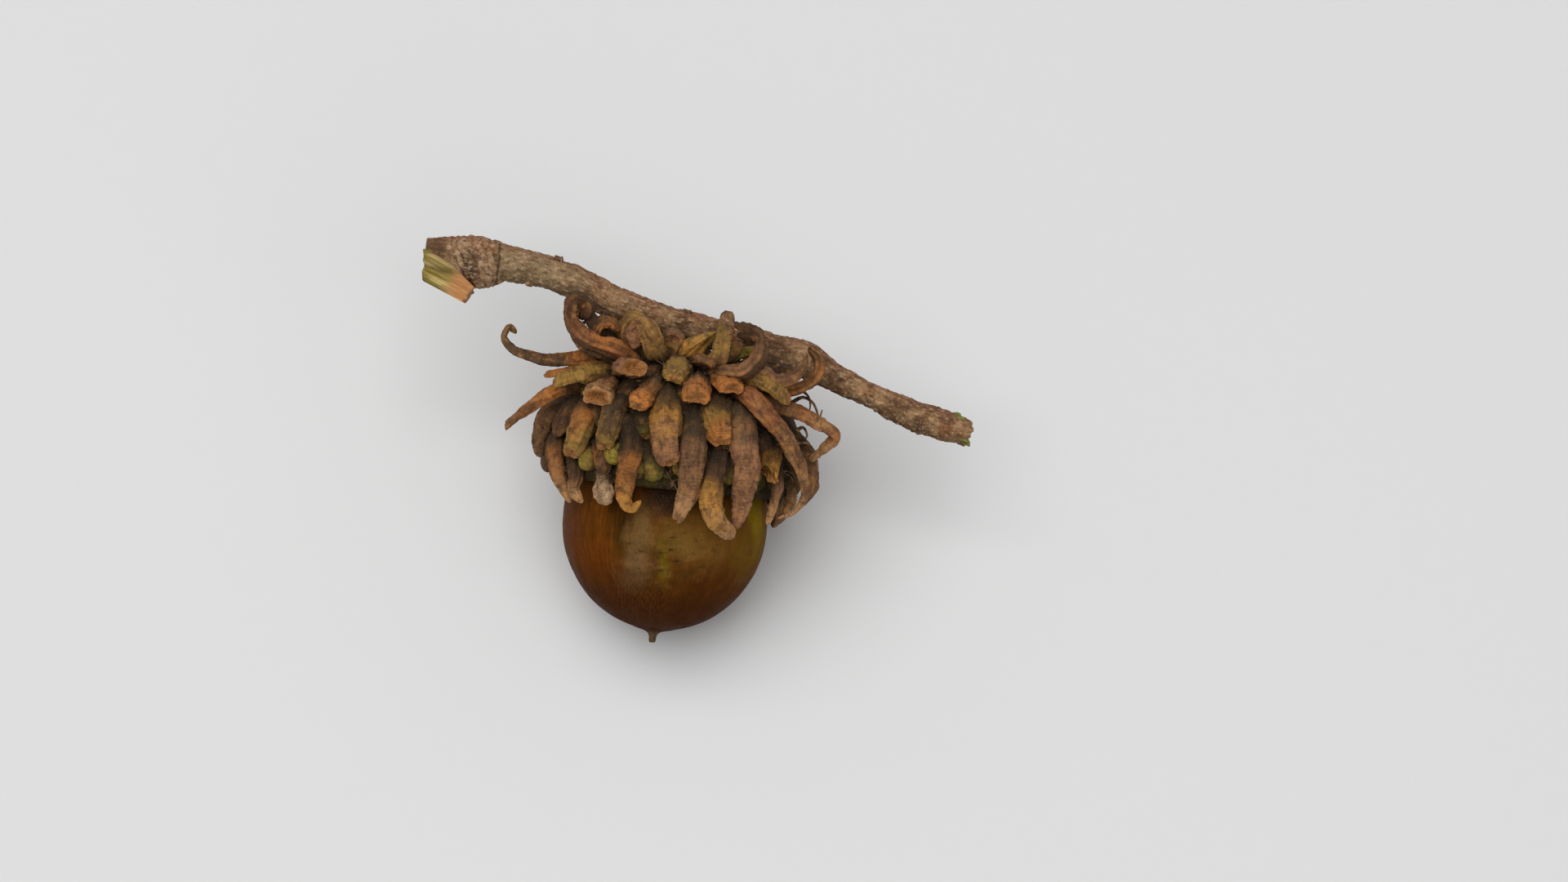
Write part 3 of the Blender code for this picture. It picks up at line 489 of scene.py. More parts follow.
# Those that show from the front: the root's X and Y on the cup, points along the scale, its width
# at the root, middle and end, its thickness as a share of that, its end, and its tints
FRONT_SCALES = [
    # hanging over the left shoulder
    ((-9.5, 12.6), [(-11.8, 11.6, 2.5), (-12.8, 9.4, 2.5), (-13.0, 7.0, 2.2)],
     (2.2, 2.6, 1.8), 0.6, "round", "dark brown brown"),
    ((-9.0, 12.4), [(-10.2, 10.8, 6.0), (-11.0, 9.0, 6.6)], (1.9, 2.2, 1.5), 0.6, "round",
     "felt brown brown"),
    ((-10.6, 9.4), [(-11.1, 8.2, 5.6), (-11.1, 6.5, 6.6), (-10.7, 4.6, 6.9), (-9.7, 2.2, 6.8)],
     (1.9, 1.8, 0.8), 0.8, "point", "brown orange tan"),
    ((-8.9, 7.2), [(-9.0, 5.2, 8.7), (-9.2, 3.6, 8.6), (-8.4, 2.2, 9.0)],
     (1.9, 1.5, 0.8), 0.7, "round", "brown brown tan"),
    ((-7.4, 12.3), [(-8.4, 9.8, 9.7), (-9.5, 7.2, 10.2)], (2.5, 2.9, 2.2), 0.7, "cut",
     "brown orange olive"),
    ((-4.4, 13.2), [(-5.3, 10.7, 11.3), (-6.0, 7.9, 12.4)], (2.4, 2.7, 1.8), 0.6, "cut",
     "felt felt olive"),
    ((-6.2, 8.5), [(-6.1, 6.7, 11.4), (-6.0, 5.0, 11.4)], (2.6, 2.0, 0.9), 0.6, "round",
     "brown orange brown"),
    ((-6.1, 6.0), [(-6.0, 4.0, 11.6), (-5.9, 2.2, 11.2)], (1.0, 1.3, 1.9), 0.8, "blunt",
     "brown tan pale"),
    # the long ones down the middle
    ((-3.2, 9.5), [(-3.3, 6.7, 13.0), (-3.8, 4.3, 12.9), (-3.9, 2.6, 12.5), (-3.2, 1.6, 12.4),
                   (-2.2, 2.3, 12.9)],
     (2.8, 2.1, 0.8), 0.6, "point", "dark orange ochre"),
    ((0.6, 13.2), [(0.35, 11.1, 12.2), (0.4, 8.5, 14.0), (0.8, 6.3, 14.7)],
     (2.6, 3.1, 2.0), 0.7, "cut", "dark ochre pink"),
    ((3.1, 11.4), [(3.2, 8.1, 13.1), (3.0, 5.1, 13.3), (2.4, 2.6, 12.7), (1.5, 0.4, 12.2)],
     (2.8, 2.6, 1.1), 0.6, "cut", "felt pink tan"),
    ((5.3, 12.6), [(5.6, 10.7, 11.9), (6.1, 8.4, 13.2)], (2.9, 3.2, 2.0), 0.65, "cut",
     "dark olive orange"),
    ((5.6, 7.1), [(5.2, 4.3, 12.4), (5.0, 2.1, 12.4), (5.7, 0.2, 11.8), (7.3, -1.2, 10.2)],
     (2.5, 2.3, 1.4), 0.7, "blunt", "purple ochre tan"),
    ((7.7, 12.1), [(8.2, 9.1, 11.4), (8.6, 6.1, 11.6), (8.3, 3.1, 11.0), (7.6, -0.3, 9.9)],
     (2.8, 2.9, 1.4), 0.6, "blunt", "felt pink pink"),
    # stumps of broken scales round the top of the cup
    ((-5.6, 14.8), [(-6.2, 13.9, 8.3), (-6.8, 12.9, 10.7)], (2.4, 2.7, 2.9), 0.75, "hollow",
     "felt brown tan"),
    ((-0.7, 14.7), [(-1.6, 13.4, 10.8), (-2.6, 12.1, 13.0)], (2.1, 2.2, 1.9), 0.8, "cut",
     "felt brown orange"),
    ((3.4, 14.8), [(3.4, 14.2, 10.0), (3.5, 12.9, 12.8)], (2.4, 2.7, 2.8), 0.7, "cut",
     "black felt orange"),
    ((-4.3, 15.6), [(-3.8, 16.0, 8.9), (-2.9, 16.0, 11.0)], (2.4, 2.6, 2.6), 0.85, "hollow",
     "felt brown pink"),
    ((1.6, 16.6), [(1.5, 16.0, 8.6), (1.2, 15.0, 11.2)], (2.2, 2.7, 2.9), 0.75, "blunt",
     "felt felt olive"),
    ((3.1, 16.6), [(4.0, 16.8, 8.0), (4.9, 16.5, 10.4)], (1.8, 1.8, 1.6), 0.85, "blunt",
     "brown brown brown"),
    ((5.6, 15.5), [(6.3, 14.8, 8.8), (7.2, 13.8, 11.2)], (2.2, 2.4, 2.6), 0.75, "cut",
     "felt dark orange"),
    ((-4.6, 15.9), [(-8.4, 15.4, 6.8), (-11.2, 14.6, 8.0)], (2.1, 2.2, 1.8), 0.9, "blunt",
     "felt olive olive"),
    ((-4.6, 16.4), [(-9.0, 15.9, 4.4), (-12.2, 15.4, 5.2)], (1.5, 1.5, 1.0), 0.8, "cut",
     "dark brown orange"),
    ((-7.4, 14.2), [(-10.4, 13.9, 4.6), (-13.0, 12.7, 5.4), (-16.4, 10.1, 5.8)],
     (2.0, 1.5, 0.8), 0.95, "cut", "dark orange brown"),
    ((6.8, 14.6), [(10.0, 14.8, 8.0), (12.9, 12.8, 9.0)], (2.0, 2.1, 1.8), 0.9, "cut",
     "felt olive olive"),
    # long ones down the right side
    ((7.4, 13.8), [(9.1, 13.0, 9.6), (10.8, 11.1, 10.4), (12.5, 9.0, 9.8), (13.8, 6.6, 8.6),
                   (14.5, 4.6, 7.6), (14.5, 2.8, 6.8), (13.4, 1.2, 6.6), (11.9, 0.6, 7.2)],
     (2.7, 2.1, 1.0), 0.75, "point", "red brown tan"),
    ((8.6, 13.0), [(12.0, 12.2, 6.6), (14.9, 10.9, 6.6), (17.6, 9.2, 6.2), (16.7, 7.9, 5.6),
                   (15.2, 6.6, 5.0)],
     (2.2, 1.7, 1.1), 0.85, "round", "brown red tan"),
    ((11.6, 9.8), [(14.2, 8.0, 3.4), (15.3, 5.6, 3.2), (15.4, 3.6, 3.0), (14.4, 1.8, 3.0)],
     (1.9, 2.0, 0.9), 0.7, "round", "black brown brown"),
    ((11.0, 8.4), [(10.9, 6.6, 8.4), (10.6, 5.2, 9.4)], (1.8, 2.3, 2.5), 0.6, "torn",
     "brown ochre ochre"),
    ((11.3, 6.6), [(11.8, 4.3, 7.6), (11.5, 2.5, 7.2), (10.8, 0.0, 7.4)], (1.6, 1.2, 0.8), 0.9, "round",
     "dark pink tan"),
    ((12.2, 6.4), [(13.2, 3.8, 4.6), (12.8, 1.6, 4.8), (11.8, 0.0, 5.4)], (1.9, 1.6, 0.9), 0.8, "round",
     "black tan brown"),
    # curls under and in front of the twig
    ((-2.6, 16.2), [(-4.6, 17.8, 7.4), (-7.4, 18.8, 7.6), (-8.9, 19.9, 7.2), (-9.8, 21.5, 6.6),
                    (-9.3, 23.1, 6.0), (-8.1, 22.6, 5.4), (-8.3, 21.2, 5.0)],
     (2.1, 2.1, 1.9), 0.75, "round", "orange red dark"),
    ((-3.0, 16.3), [(-6.2, 17.0, 3.6), (-11.8, 16.9, 3.8), (-13.9, 17.3, 3.6), (-15.7, 18.0, 3.4),
                    (-16.8, 19.3, 3.2), (-16.2, 20.5, 3.0), (-15.4, 19.9, 2.8)],
     (2.0, 1.5, 0.8), 1.0, "round", "orange dark felt"),
    ((-2.2, 16.8), [(-4.7, 17.9, 4.8), (-6.6, 18.5, 5.0), (-7.2, 19.6, 5.2), (-6.6, 20.8, 5.3),
                    (-5.4, 20.9, 5.3), (-4.6, 20.0, 5.2)],
     (2.4, 2.6, 1.8), 0.38, "round", "dark brown orange"),
    ((-1.4, 17.0), [(-3.9, 18.7, 3.8), (-4.2, 20.3, 4.1), (-3.1, 21.3, 4.3), (-2.1, 20.4, 4.4)],
     (2.0, 2.4, 2.0), 0.7, "round", "dark brown olive"),
    ((-0.2, 16.9), [(-0.6, 17.6, 7.2), (-1.3, 19.2, 8.2), (-2.0, 20.2, 7.8), (-2.8, 19.7, 7.2),
                    (-3.0, 18.2, 7.0)],
     (2.1, 2.3, 1.8), 0.8, "round", "felt olive pink"),
    ((0.8, 17.0), [(0.6, 18.3, 5.6), (1.3, 19.6, 7.2)], (1.8, 2.4, 2.3), 0.9, "round",
     "dark olive brown"),
    ((2.0, 16.9), [(3.2, 18.1, 6.6), (5.4, 19.7, 7.2)], (1.7, 2.5, 0.8), 0.8, "point",
     "brown ochre olive"),
    ((4.2, 16.0), [(5.6, 16.9, 8.4), (6.2, 18.8, 8.2), (6.4, 20.4, 6.6), (6.3, 20.8, 5.0)],
     (1.9, 1.9, 1.3), 0.8, "round", "brown olive brown"),
    ((5.0, 15.8), [(6.6, 15.5, 8.4), (8.4, 15.6, 9.4), (9.9, 17.0, 9.2), (10.3, 18.7, 8.4),
                   (9.6, 19.5, 7.2), (8.0, 19.8, 6.0)],
     (2.1, 2.6, 2.2), 0.55, "torn", "brown pink dark"),
    ((6.0, 15.4), [(9.6, 15.5, 7.2), (11.6, 14.7, 8.2), (13.3, 15.0, 8.3), (14.4, 16.2, 7.8),
                   (14.8, 17.4, 7.2)],
     (2.0, 2.6, 0.8), 0.7, "point", "brown pink brown"),
    ((7.0, 14.6), [(10.5, 14.2, 5.8), (12.8, 13.7, 6.2), (14.8, 14.2, 6.0), (16.0, 15.5, 5.7),
                   (16.2, 17.0, 5.3), (15.1, 18.2, 4.9)],
     (1.9, 2.3, 1.7), 0.6, "round", "brown orange brown"),
]
# Which of them, counted from 0, are flat, with a groove along them and a dark felted outer edge
RIBBONS = (31, 33, 39, 41)
# Dark ones deep between the curls, near black for their felt and as painted shade under the curls, the
# lumps of a split knob, and the yellow-green bumps at the rim
DEEP_SCALES = [
    ((-2.4, 16.6), [(-4.6, 18.8, 2.4), (-6.4, 20.2, 2.2)],
     (2.2, 2.6, 2.0), 0.6, "round", "black dark dark"),
    ((-3.6, 16.1), [(-6.4, 18.0, 1.8), (-8.2, 19.6, 1.4)],
     (2.0, 2.2, 1.6), 0.6, "round", "black dark dark"),
    ((-3.0, 16.4), [(-4.8, 18.2, 3.2), (-6.6, 19.8, 3.6), (-7.8, 21.4, 3.8), (-8.0, 22.6, 3.6)],
     (2.0, 2.8, 2.2), 0.7, "round", "black black dark"),
    ((-3.6, 16.2), [(-6.4, 17.4, 5.4), (-8.3, 18.3, 5.8), (-9.2, 19.4, 5.8), (-9.5, 20.8, 5.4)],
     (2.0, 2.2, 1.6), 0.6, "round", "dark dark felt"),
    ((-1.6, 16.8), [(-2.2, 17.8, 3.6), (-2.4, 19.6, 3.0)],
     (2.2, 3.2, 2.8), 0.7, "round", "black black dark"),
    ((4.6, 16.2), [(6.6, 17.0, 4.4), (7.6, 18.6, 3.4)],
     (2.2, 3.2, 2.6), 0.6, "round", "black black olive"),
    ((4.9, 16.0), [(7.6, 17.4, 3.6), (9.8, 18.0, 3.0)],
     (2.2, 2.6, 1.8), 0.6, "round", "black dark green"),
    ((6.2, 15.4), [(9.6, 15.8, 4.0), (13.6, 15.5, 3.6)],
     (2.4, 3.4, 2.6), 0.6, "round", "black black dark"),
    ((-6.1, 6.0), [(-6.3, 3.7, 11.5), (-6.7, 2.6, 11.6)],
     (0.9, 1.1, 1.5), 0.9, "round", "brown tan pale"),
    ((-6.1, 6.0), [(-5.9, 3.5, 11.8), (-5.8, 2.1, 12.1)],
     (0.9, 1.2, 1.6), 0.9, "round", "brown pale pale"),
    ((-6.1, 6.0), [(-5.6, 3.8, 11.6), (-5.1, 2.9, 11.8)],
     (0.9, 1.0, 1.4), 0.9, "round", "brown tan pale"),
    ((-7.5, 7.7), [(-7.7, 6.7, 10.6), (-7.7, 5.6, 10.3)],
     (1.6, 2.1, 1.8), 0.6, "round", "dark olive lime"),
    ((-4.6, 8.2), [(-4.8, 7.2, 12.0), (-4.8, 6.2, 11.7)],
     (1.6, 2.1, 1.9), 0.6, "round", "dark lime lime"),
    ((-2.6, 6.8), [(-2.7, 5.8, 12.4), (-2.8, 4.7, 12.0)],
     (1.5, 1.9, 1.6), 0.6, "round", "dark olive olive"),
    ((-0.9, 7.0), [(-0.9, 5.9, 12.9), (-1.0, 4.5, 12.6)],
     (1.6, 2.0, 1.7), 0.6, "round", "olive lime lime"),
    ((-1.9, 7.2), [(-2.1, 6.3, 12.7), (-2.2, 5.2, 12.4)],
     (1.3, 1.6, 1.4), 0.6, "round", "dark olive lime"),
    ((1.9, 7.2), [(1.9, 6.3, 13.0), (1.9, 5.2, 12.6)], (1.4, 1.8, 1.6), 0.6, "round", "dark lime lime"),
    ((6.9, 6.2), [(7.0, 5.2, 11.0), (7.0, 4.1, 10.6)], (1.4, 1.9, 1.6), 0.6, "round", "dark olive lime"),
    ((9.2, 6.6), [(9.4, 5.4, 9.3), (9.5, 4.3, 8.9)], (1.4, 1.9, 1.6), 0.6, "round", "dark olive green"),
]
# Rings of them, from the rim up: height, how many would go all round, length, slant at the root and
# at the end, width, and how they end. These go round the back
BACK_RINGS = [
    (5.2, 15, 5.4, 66, 100, 2.2, "point"),
    (7.4, 15, 6.6, 50, 98, 2.5, "round"),
    (9.6, 14, 6.6, 40, 88, 2.9, "cut"),
    (11.8, 13, 6.0, 36, 74, 3.0, "cut"),
    (13.8, 11, 5.6, 30, 68, 3.0, "cut"),
    (15.4, 9, 6.8, 10, -120, 2.0, "round"),
]
RING_TINTS = [
    "felt brown tan", "dark orange brown", "felt olive brown", "brown pink tan", "dark brown orange",
    "felt purple tan", "brown ochre tan", "dark felt brown",
]
# Short ones that fill the front between the long ones
FILLING_RINGS = [
    (5.6, 17, 1.6, 62, 95, 2.0, "round"),
    (7.6, 16, 2.8, 50, 84, 2.4, "round"),
    (9.9, 15, 3.6, 45, 76, 2.5, "cut"),
    (12.0, 13, 3.6, 40, 66, 2.4, "cut"),
    (14.0, 11, 3.2, 30, 60, 2.3, "cut"),
    (15.6, 8, 2.8, 20, 40, 2.0, "round"),
]
FILLING_TINTS = ["felt dark brown", "black felt olive", "dark brown brown", "felt dark green"]
# Small dark ones at the top of the cup, round its stub and under the twig
CROWN_RINGS = [
    (15.9, 11, 3.0, 20, -30, 2.0, "round"),
    (16.8, 9, 3.2, 0, -55, 1.9, "round"),
]
CROWN_TINTS = ["black dark dark", "black dark brown", "dark felt brown"]
# Azimuths go round the cup's axis, 0 at the front and 90 on the right
FIRST_BACK_AZIMUTH = 76.0
LAST_BACK_AZIMUTH = 260.0
RING_SEED = 11
AZIMUTH_SPREAD = 4.0
SIDEWAYS_SPREAD = 14.0
SLANT_SPREAD = 12.0
LENGTH_SPREAD = 0.15  # a share, as the next
WIDTH_SPREAD = 0.1
RING_FLATNESS = 0.65
# How wide a scale of a ring is at its end, as a share of its width: a cut one, and any other
RING_CUT_WIDTH = 0.75
RING_TIP_WIDTH = 0.5
# The lowest rings keep their whole length only behind, between these azimuths
SHORT_RINGS = 3
SHORT_BEFORE = 106.0
SHORT_FROM = 234.0
SHORT_SHARE = 0.55
# How a scale ends: where it starts to narrow, how narrow it gets, how deep its end is hollow, how
# ragged its edge is, and how far in its broken face starts
ENDINGS = {
    "cut": (0.86, 0.8, 0.1, 0.6, 0.06),
    "blunt": (0.7, 0.6, -0.3, 0.4, 0.4),
    "hollow": (0.9, 0.95, 0.5, 1.0, 0.03),
    "torn": (0.98, 1.1, 2.2, 3.0, 0.03),
    "round": (0.78, 0.42, -0.25, 0.3, 2.0),
    "point": (0.6, 0.3, -0.3, 0.3, 2.0),
}
ROOT_SINK = 1.3  # how far a scale starts inside the wall
FELT_REACH = 4.8  # how far out of the wall it is felted at most, and as a share of its length
FELT_LENGTH_SHARE = 0.6
FELT_SHARE = 0.16  # of the felted points, how many bear a hair
LEAST_THICK = 0.5
LEAST_WIDE = 0.5
LYING_SHARE = 0.8  # of its half thickness, how high the middle of a scale on the surface is
SECTION_POWER = 0.8  # 1 for an oval section, less for a squarer one
BREAK_SLOPE = 0.85  # how much a broken end slopes, as a share of the scale's half thickness
GROOVE_DEPTH = 0.3
MOST_RINGS = 84
LEAST_RINGS = 8
END_WALLS = (0.07, 0.1, 0.16, 0.2, 0.2)  # between the rings in a bar's far end
# How fine the scales of a group are made: sides, and millimetres from ring to ring
FRONT_DETAIL = (32, 0.2)
BACK_DETAIL = (18, 0.34)
FILLING_DETAIL = (14, 0.4)
CROWN_DETAIL = (14, 0.35)
DEEP_DETAIL = (18, 0.35)
# The first number of each group. A scale's own shape and shade are drawn from its number
FIRST_FRONT = 0
FIRST_FILLING = 200
FIRST_CROWN = 300
FIRST_DEEP = 360
FIRST_BACK = 400


def between(pairs, value):
    """The second number of the pairs, read along straight lines at the first number value."""
    return float(np.interp(value, [p[0] for p in pairs], [p[1] for p in pairs]))


def cup_root(x, y):
    """The place on the front of the cup at plant X and Y, and the way straight out of the cup there."""
    flat = Vector((x, y, 0.0))
    height = flat.dot(AXIS)
    across = flat - AXIS * height
    radius = between(CUP_OUTSIDE, height)
    front = math.sqrt(max(0.0, radius**2 - across.length_squared))
    outward = (across + Vector((0.0, 0.0, front))).normalized()
    return AXIS * height + outward * min(radius, max(across.length, radius)), outward


def ring_scales(rings, first_azimuth, last_azimuth, steps, tints):
    """Root, way out, points, widths, flatness, ending and tints of each scale between two azimuths."""
    draw = random.Random(RING_SEED)
    paint = random.Random(RING_SEED)
    for number, (height, count, length, start, end, width, ending) in enumerate(rings):
        radius = between(CUP_OUTSIDE, height)
        for k in range(count):
            azimuth = 360.0 * (k + 0.5 * (number % 2)) / count
            azimuth += draw.uniform(-AZIMUTH_SPREAD, AZIMUTH_SPREAD)
            long = length * (1.0 + draw.uniform(-LENGTH_SPREAD, LENGTH_SPREAD))
            sideways = draw.uniform(-SIDEWAYS_SPREAD, SIDEWAYS_SPREAD)
            bend_end = end + draw.uniform(-SLANT_SPREAD, SLANT_SPREAD)
            if number < SHORT_RINGS and not SHORT_BEFORE < azimuth < SHORT_FROM:
                long *= SHORT_SHARE
            wide = width * (1.0 + draw.uniform(-WIDTH_SPREAD, WIDTH_SPREAD))
            if not first_azimuth < (azimuth - first_azimuth) % 360.0 + first_azimuth < last_azimuth:
                continue
            outward = Quaternion(AXIS, math.radians(azimuth)) @ Vector((0.0, 0.0, 1.0))
            root = AXIS * height + outward * radius
            down = -(Quaternion(outward, math.radians(sideways)) @ AXIS)
            at = root.copy()
            points = []
            for step in range(steps):
                slant = math.radians(start + (bend_end - start) * (step + 0.5) / steps)
                at = at + (outward * math.cos(slant) + down * math.sin(slant)) * (long / steps)
                points.append(at)
            tip = RING_CUT_WIDTH if ending == "cut" else RING_TIP_WIDTH
            widths = (wide, wide, wide * tip)
            yield root, outward, points, widths, RING_FLATNESS, ending, paint.choice(tints)


class Bar:
    """A round bar of radius 1 from 0 to 1 along Z, which is bent to make a scale, twig or thread.

    For each vertex it keeps how far along it is, how far out of the middle, how far in from the rim
    of the far end, and at what angle.
    """

    def __init__(self, rings, sides):
        shape = bmesh.new()
        bmesh.ops.create_cone(
            shape, cap_ends=True, cap_tris=False, segments=sides, radius1=1.0, radius2=1.0, depth=1.0,
            matrix=Matrix.Translation((0.0, 0.0, 0.5)),
        )
        lengthwise = [e for e in shape.edges if abs(e.verts[0].co.z - e.verts[1].co.z) > 0.5]
        bmesh.ops.subdivide_edges(shape, edges=lengthwise, cuts=rings - 1, use_grid_fill=True)
        end = max(shape.faces, key=lambda face: face.calc_center_median().z)
        for wall in END_WALLS:
            bmesh.ops.inset_individual(shape, faces=[end], thickness=wall)
        bmesh.ops.poke(shape, faces=[end])
        self.mesh = as_mesh("bar", shape)
        self.at = places_of(self.mesh)
        self.share = self.at[:, 2]
        self.radial = np.hypot(self.at[:, 0], self.at[:, 1])
        self.inward = np.where(self.share > 1.0 - 1e-6, 1.0 - self.radial, 0.0)
        self.turn = np.arctan2(self.at[:, 1], self.at[:, 0])

    def bent(self, co):
        """A mesh like the bar's, with its vertices at other places."""
        mesh = self.mesh.copy()
        mesh.vertices.foreach_set("co", co.ravel())
        return mesh


@functools.cache
def bar(rings, sides):
    return Bar(rings, sides)


def places_of(mesh):
    places = np.empty(len(mesh.vertices) * 3)
    mesh.vertices.foreach_get("co", places)
    return places.reshape(-1, 3)


def frames_along(places, first_out):
    """The ways along, across and out at each place of a line, turned as little as possible."""
    along = np.gradient(places, axis=0)
    along /= np.linalg.norm(along, axis=1)[:, None]
    out = np.empty_like(along)
    way = np.array(first_out, float)
    for k, ahead in enumerate(along):
        way = way - ahead * way.dot(ahead)
        way /= np.linalg.norm(way)
        out[k] = way
    return along, np.cross(along, out), out


def read_at(shares, known, values):
    """The rows of values, known at some shares, read at others."""
    return np.column_stack([np.interp(shares, known, column) for column in values.T])


def step(low, high, value):
    """A smooth step from 0 at low to 1 at high."""
    t = np.clip((value - low) / (high - low), 0.0, 1.0)
    return t * t * (3.0 - 2.0 * t)


def clouds(places, scale, seed):
    """Soft noise from about -1 to 1 at each place."""
    return np.array([noise.noise(Vector(p)) for p in places * scale + seed * 7.3])


def carry(mesh, name, kind, values):
    """Gives each vertex of a mesh a value, a vector or a colour that its finish reads."""
    layer = mesh.attributes.new(name, kind, "POINT")
    field = {"FLOAT": "value", "FLOAT_VECTOR": "vector", "FLOAT_COLOR": "color"}[kind]
    layer.data.foreach_set(field, np.asarray(values, np.float32).ravel())


def carry_shares(mesh, **shares):
    for name, values in shares.items():
        carry(mesh, name, "FLOAT", values)


UP_ROW = np.array(UP)
TABLE_ROW = np.array(TABLE)


def above_table(places):
    return (places - TABLE_ROW) @ UP_ROW


def kept_above_table(places):
    """The places, with those that are under the table's surface moved up to it."""
    return places - np.outer(np.minimum(above_table(places), 0.0), UP_ROW)


def run_along(places):
    """How far along a line each of its places is."""
    return np.concatenate([[0.0], np.cumsum(np.linalg.norm(np.diff(places, axis=0), axis=1))])


FELT_SPOTS = []  # place, way out and way along, of each point that bears a hair


def scale_mesh(number, scale, sides, ring_step):
    """A scale bent from a bar along its own line, with its wrinkles, lumps and broken end."""
    root, outward, points, widths, flatness, ending, tints = scale
    line = smooth_line([root - outward * ROOT_SINK, root, *points])
    run = run_along(line)
    length = run[-1]
    known = run / length

    def width_at(share):
        first, middle, last = widths
        return (first * (1 - share) * (1 - 2 * share) + 4 * middle * share * (1 - share)
                + last * share * (2 * share - 1))

    low = above_table(line) - width_at(known) * flatness / 2 * LYING_SHARE
    line = line - np.outer(np.where(run > ROOT_SINK + 1.0, np.minimum(low, 0.0), 0.0), UP_ROW)
    along, across, out = frames_along(line, AXIS)

    stock = bar(min(MOST_RINGS, max(LEAST_RINGS, round(length / ring_step))), sides)
    share, radial, inward, turn = stock.share, stock.radial, stock.inward, stock.turn
    draw = random.Random(number + 100)
    seed = draw.uniform(0.0, 50.0)

    narrow_from, narrow_to, hollow, ragged, face_from = ENDINGS[ending]
    ending_share = np.clip((share - narrow_from) / (1 - narrow_from), 0.0, 1.0)
    narrow = 1.0 + (narrow_to - 1.0) * (1.0 - np.sqrt(1.0 - np.minimum(ending_share, 0.999) ** 2))
    uneven = 1.0 + 0.13 * clouds(np.column_stack([0 * share, 0 * share, share * length]), 0.6, seed + 1)
    width = np.maximum(width_at(share), LEAST_WIDE) * narrow * uneven
    half_wide = width / 2
    half_thick = np.maximum(width * flatness, LEAST_THICK * narrow) / 2

    # how far over to the outside of its curl each side of the scale is, as seen from the front
    flat = along[:, :2] / np.linalg.norm(along[:, :2], axis=1)[:, None]
    curl = np.sign(np.sum(flat[:-1, 0] * flat[1:, 1] - flat[:-1, 1] * flat[1:, 0]))
    place_at, along_at, across_at, out_at = (
        read_at(share, known, rows) for rows in (line, along, across, out)
    )
    normal = across_at * np.cos(turn)[:, None] + out_at * np.sin(turn)[:, None]
    beside = curl * (along_at[:, 1] * normal[:, 0] - along_at[:, 0] * normal[:, 1])
    ribbon = step(0.1, 0.3, share) * (number in RIBBONS)
    groove = ribbon * np.exp(-(((beside + 0.1) / 0.2) ** 2)) * step(0.2, 0.6, normal[:, 2])

    # the section: keeled outside and a little hollow inside, more so where the scale has dried
    dry = step(0.45, 1.0, share) * (1.0 - step(0.02, 0.1, inward))
    side = np.sign(np.cos(turn)) * np.abs(np.cos(turn)) ** SECTION_POWER
    face = np.sign(np.sin(turn)) * np.abs(np.sin(turn)) ** SECTION_POWER
    keel = draw.uniform(0.0, 0.4) * (1.0 - np.abs(side)) ** 1.5 - 0.12
    inner = draw.uniform(0.15, 0.5) + dry * draw.uniform(0.1, 0.6)
    face = np.where(face > 0, face * (1.0 + keel), face * (1.0 - inner * (1.0 - side**2)))
    twist = draw.uniform(-0.4, 0.4) * share
    over = side * half_wide * radial
    outer = face * half_thick * radial
    x = over * np.cos(twist) - outer * np.sin(twist)
    y = over * np.sin(twist) + outer * np.cos(twist)
    unbent = np.column_stack([over, outer, share * length])

    # lumps, lengthwise folds and the cross wrinkles of a dried tip
    broad = clouds(unbent * (1.0, 1.0, 0.55), 0.8, seed) * 0.24
    folds = clouds(np.column_stack([side * 1.9, face * 1.9, share * length * 0.2]), 1.5, seed + 3)
    folds = (0.3 - np.abs(folds)) * 0.56
    wrinkles = clouds(np.column_stack([over * 0.35, outer * 0.35, share * length * 2.2]), 1.0, seed + 5)
    wrinkles = (0.25 - np.abs(wrinkles)) * (0.03 + 0.2 * dry)
    rough = clouds(unbent, 3.1, seed + 9) * 0.1
    swell = broad + folds + rough + wrinkles
    swell *= np.minimum(1.0, width / 1.8) * (1.0 - step(0.0, 0.25, inward))
    x = x + side * swell
    y = y + np.sin(turn) * swell
    x = x - side * groove * GROOVE_DEPTH
    y = y - np.sin(turn) * groove * GROOVE_DEPTH

    # the end is uneven, and it dips inside its rim
    rim = np.column_stack([side, face, 0 * face])
    jag = clouds(rim, 1.9, seed + 12) * 0.3
    jag += clouds(rim, 5.0, seed + 14) * 0.12
    jag = (jag + side * draw.uniform(-0.2, 0.2)) * ragged * step(0.72, 1.0, share)
    dip = step(0.1, 0.75, inward) * hollow * half_wide
    grit = clouds(unbent, 3.2, seed + 20) * 0.16 * step(face_from, face_from + 0.15, inward)
    # broken ends that don't point at the viewer are longer underneath, so that their face shows
    aside = (1.0 - abs(along[-1][2])) * (face_from < 1.0)
    slope = face * half_thick * BREAK_SLOPE * aside * step(0.8, 1.0, share) * radial
    lift = jag - dip + grit - slope

    co = place_at + across_at * x[:, None] + out_at * y[:, None] + along_at * lift[:, None]
    co = kept_above_table(co)
    mesh = stock.bent(co)

    colours = np.array([TINTS[t] for t in tints.split()]) * draw.uniform(1.0, 1.3)
    tint = read_at(share + 0.3 * clouds(unbent, 0.55, seed + 30), [0.24, 0.54, 0.9], colours)
    felted = min(FELT_REACH, FELT_LENGTH_SHARE * (length - ROOT_SINK))
    bared = share * length - ROOT_SINK + 1.3 * clouds(unbent, 0.8, seed + 33)
    felt = 1.0 - step(0.15 * felted, felted, bared)
    hairy = felt * (1.0 - ribbon)
    felt = np.maximum(felt, np.maximum(groove * 0.8, ribbon * step(0.35, 0.7, beside)) * 0.85)
    torn = step(face_from, face_from + 0.1, inward)
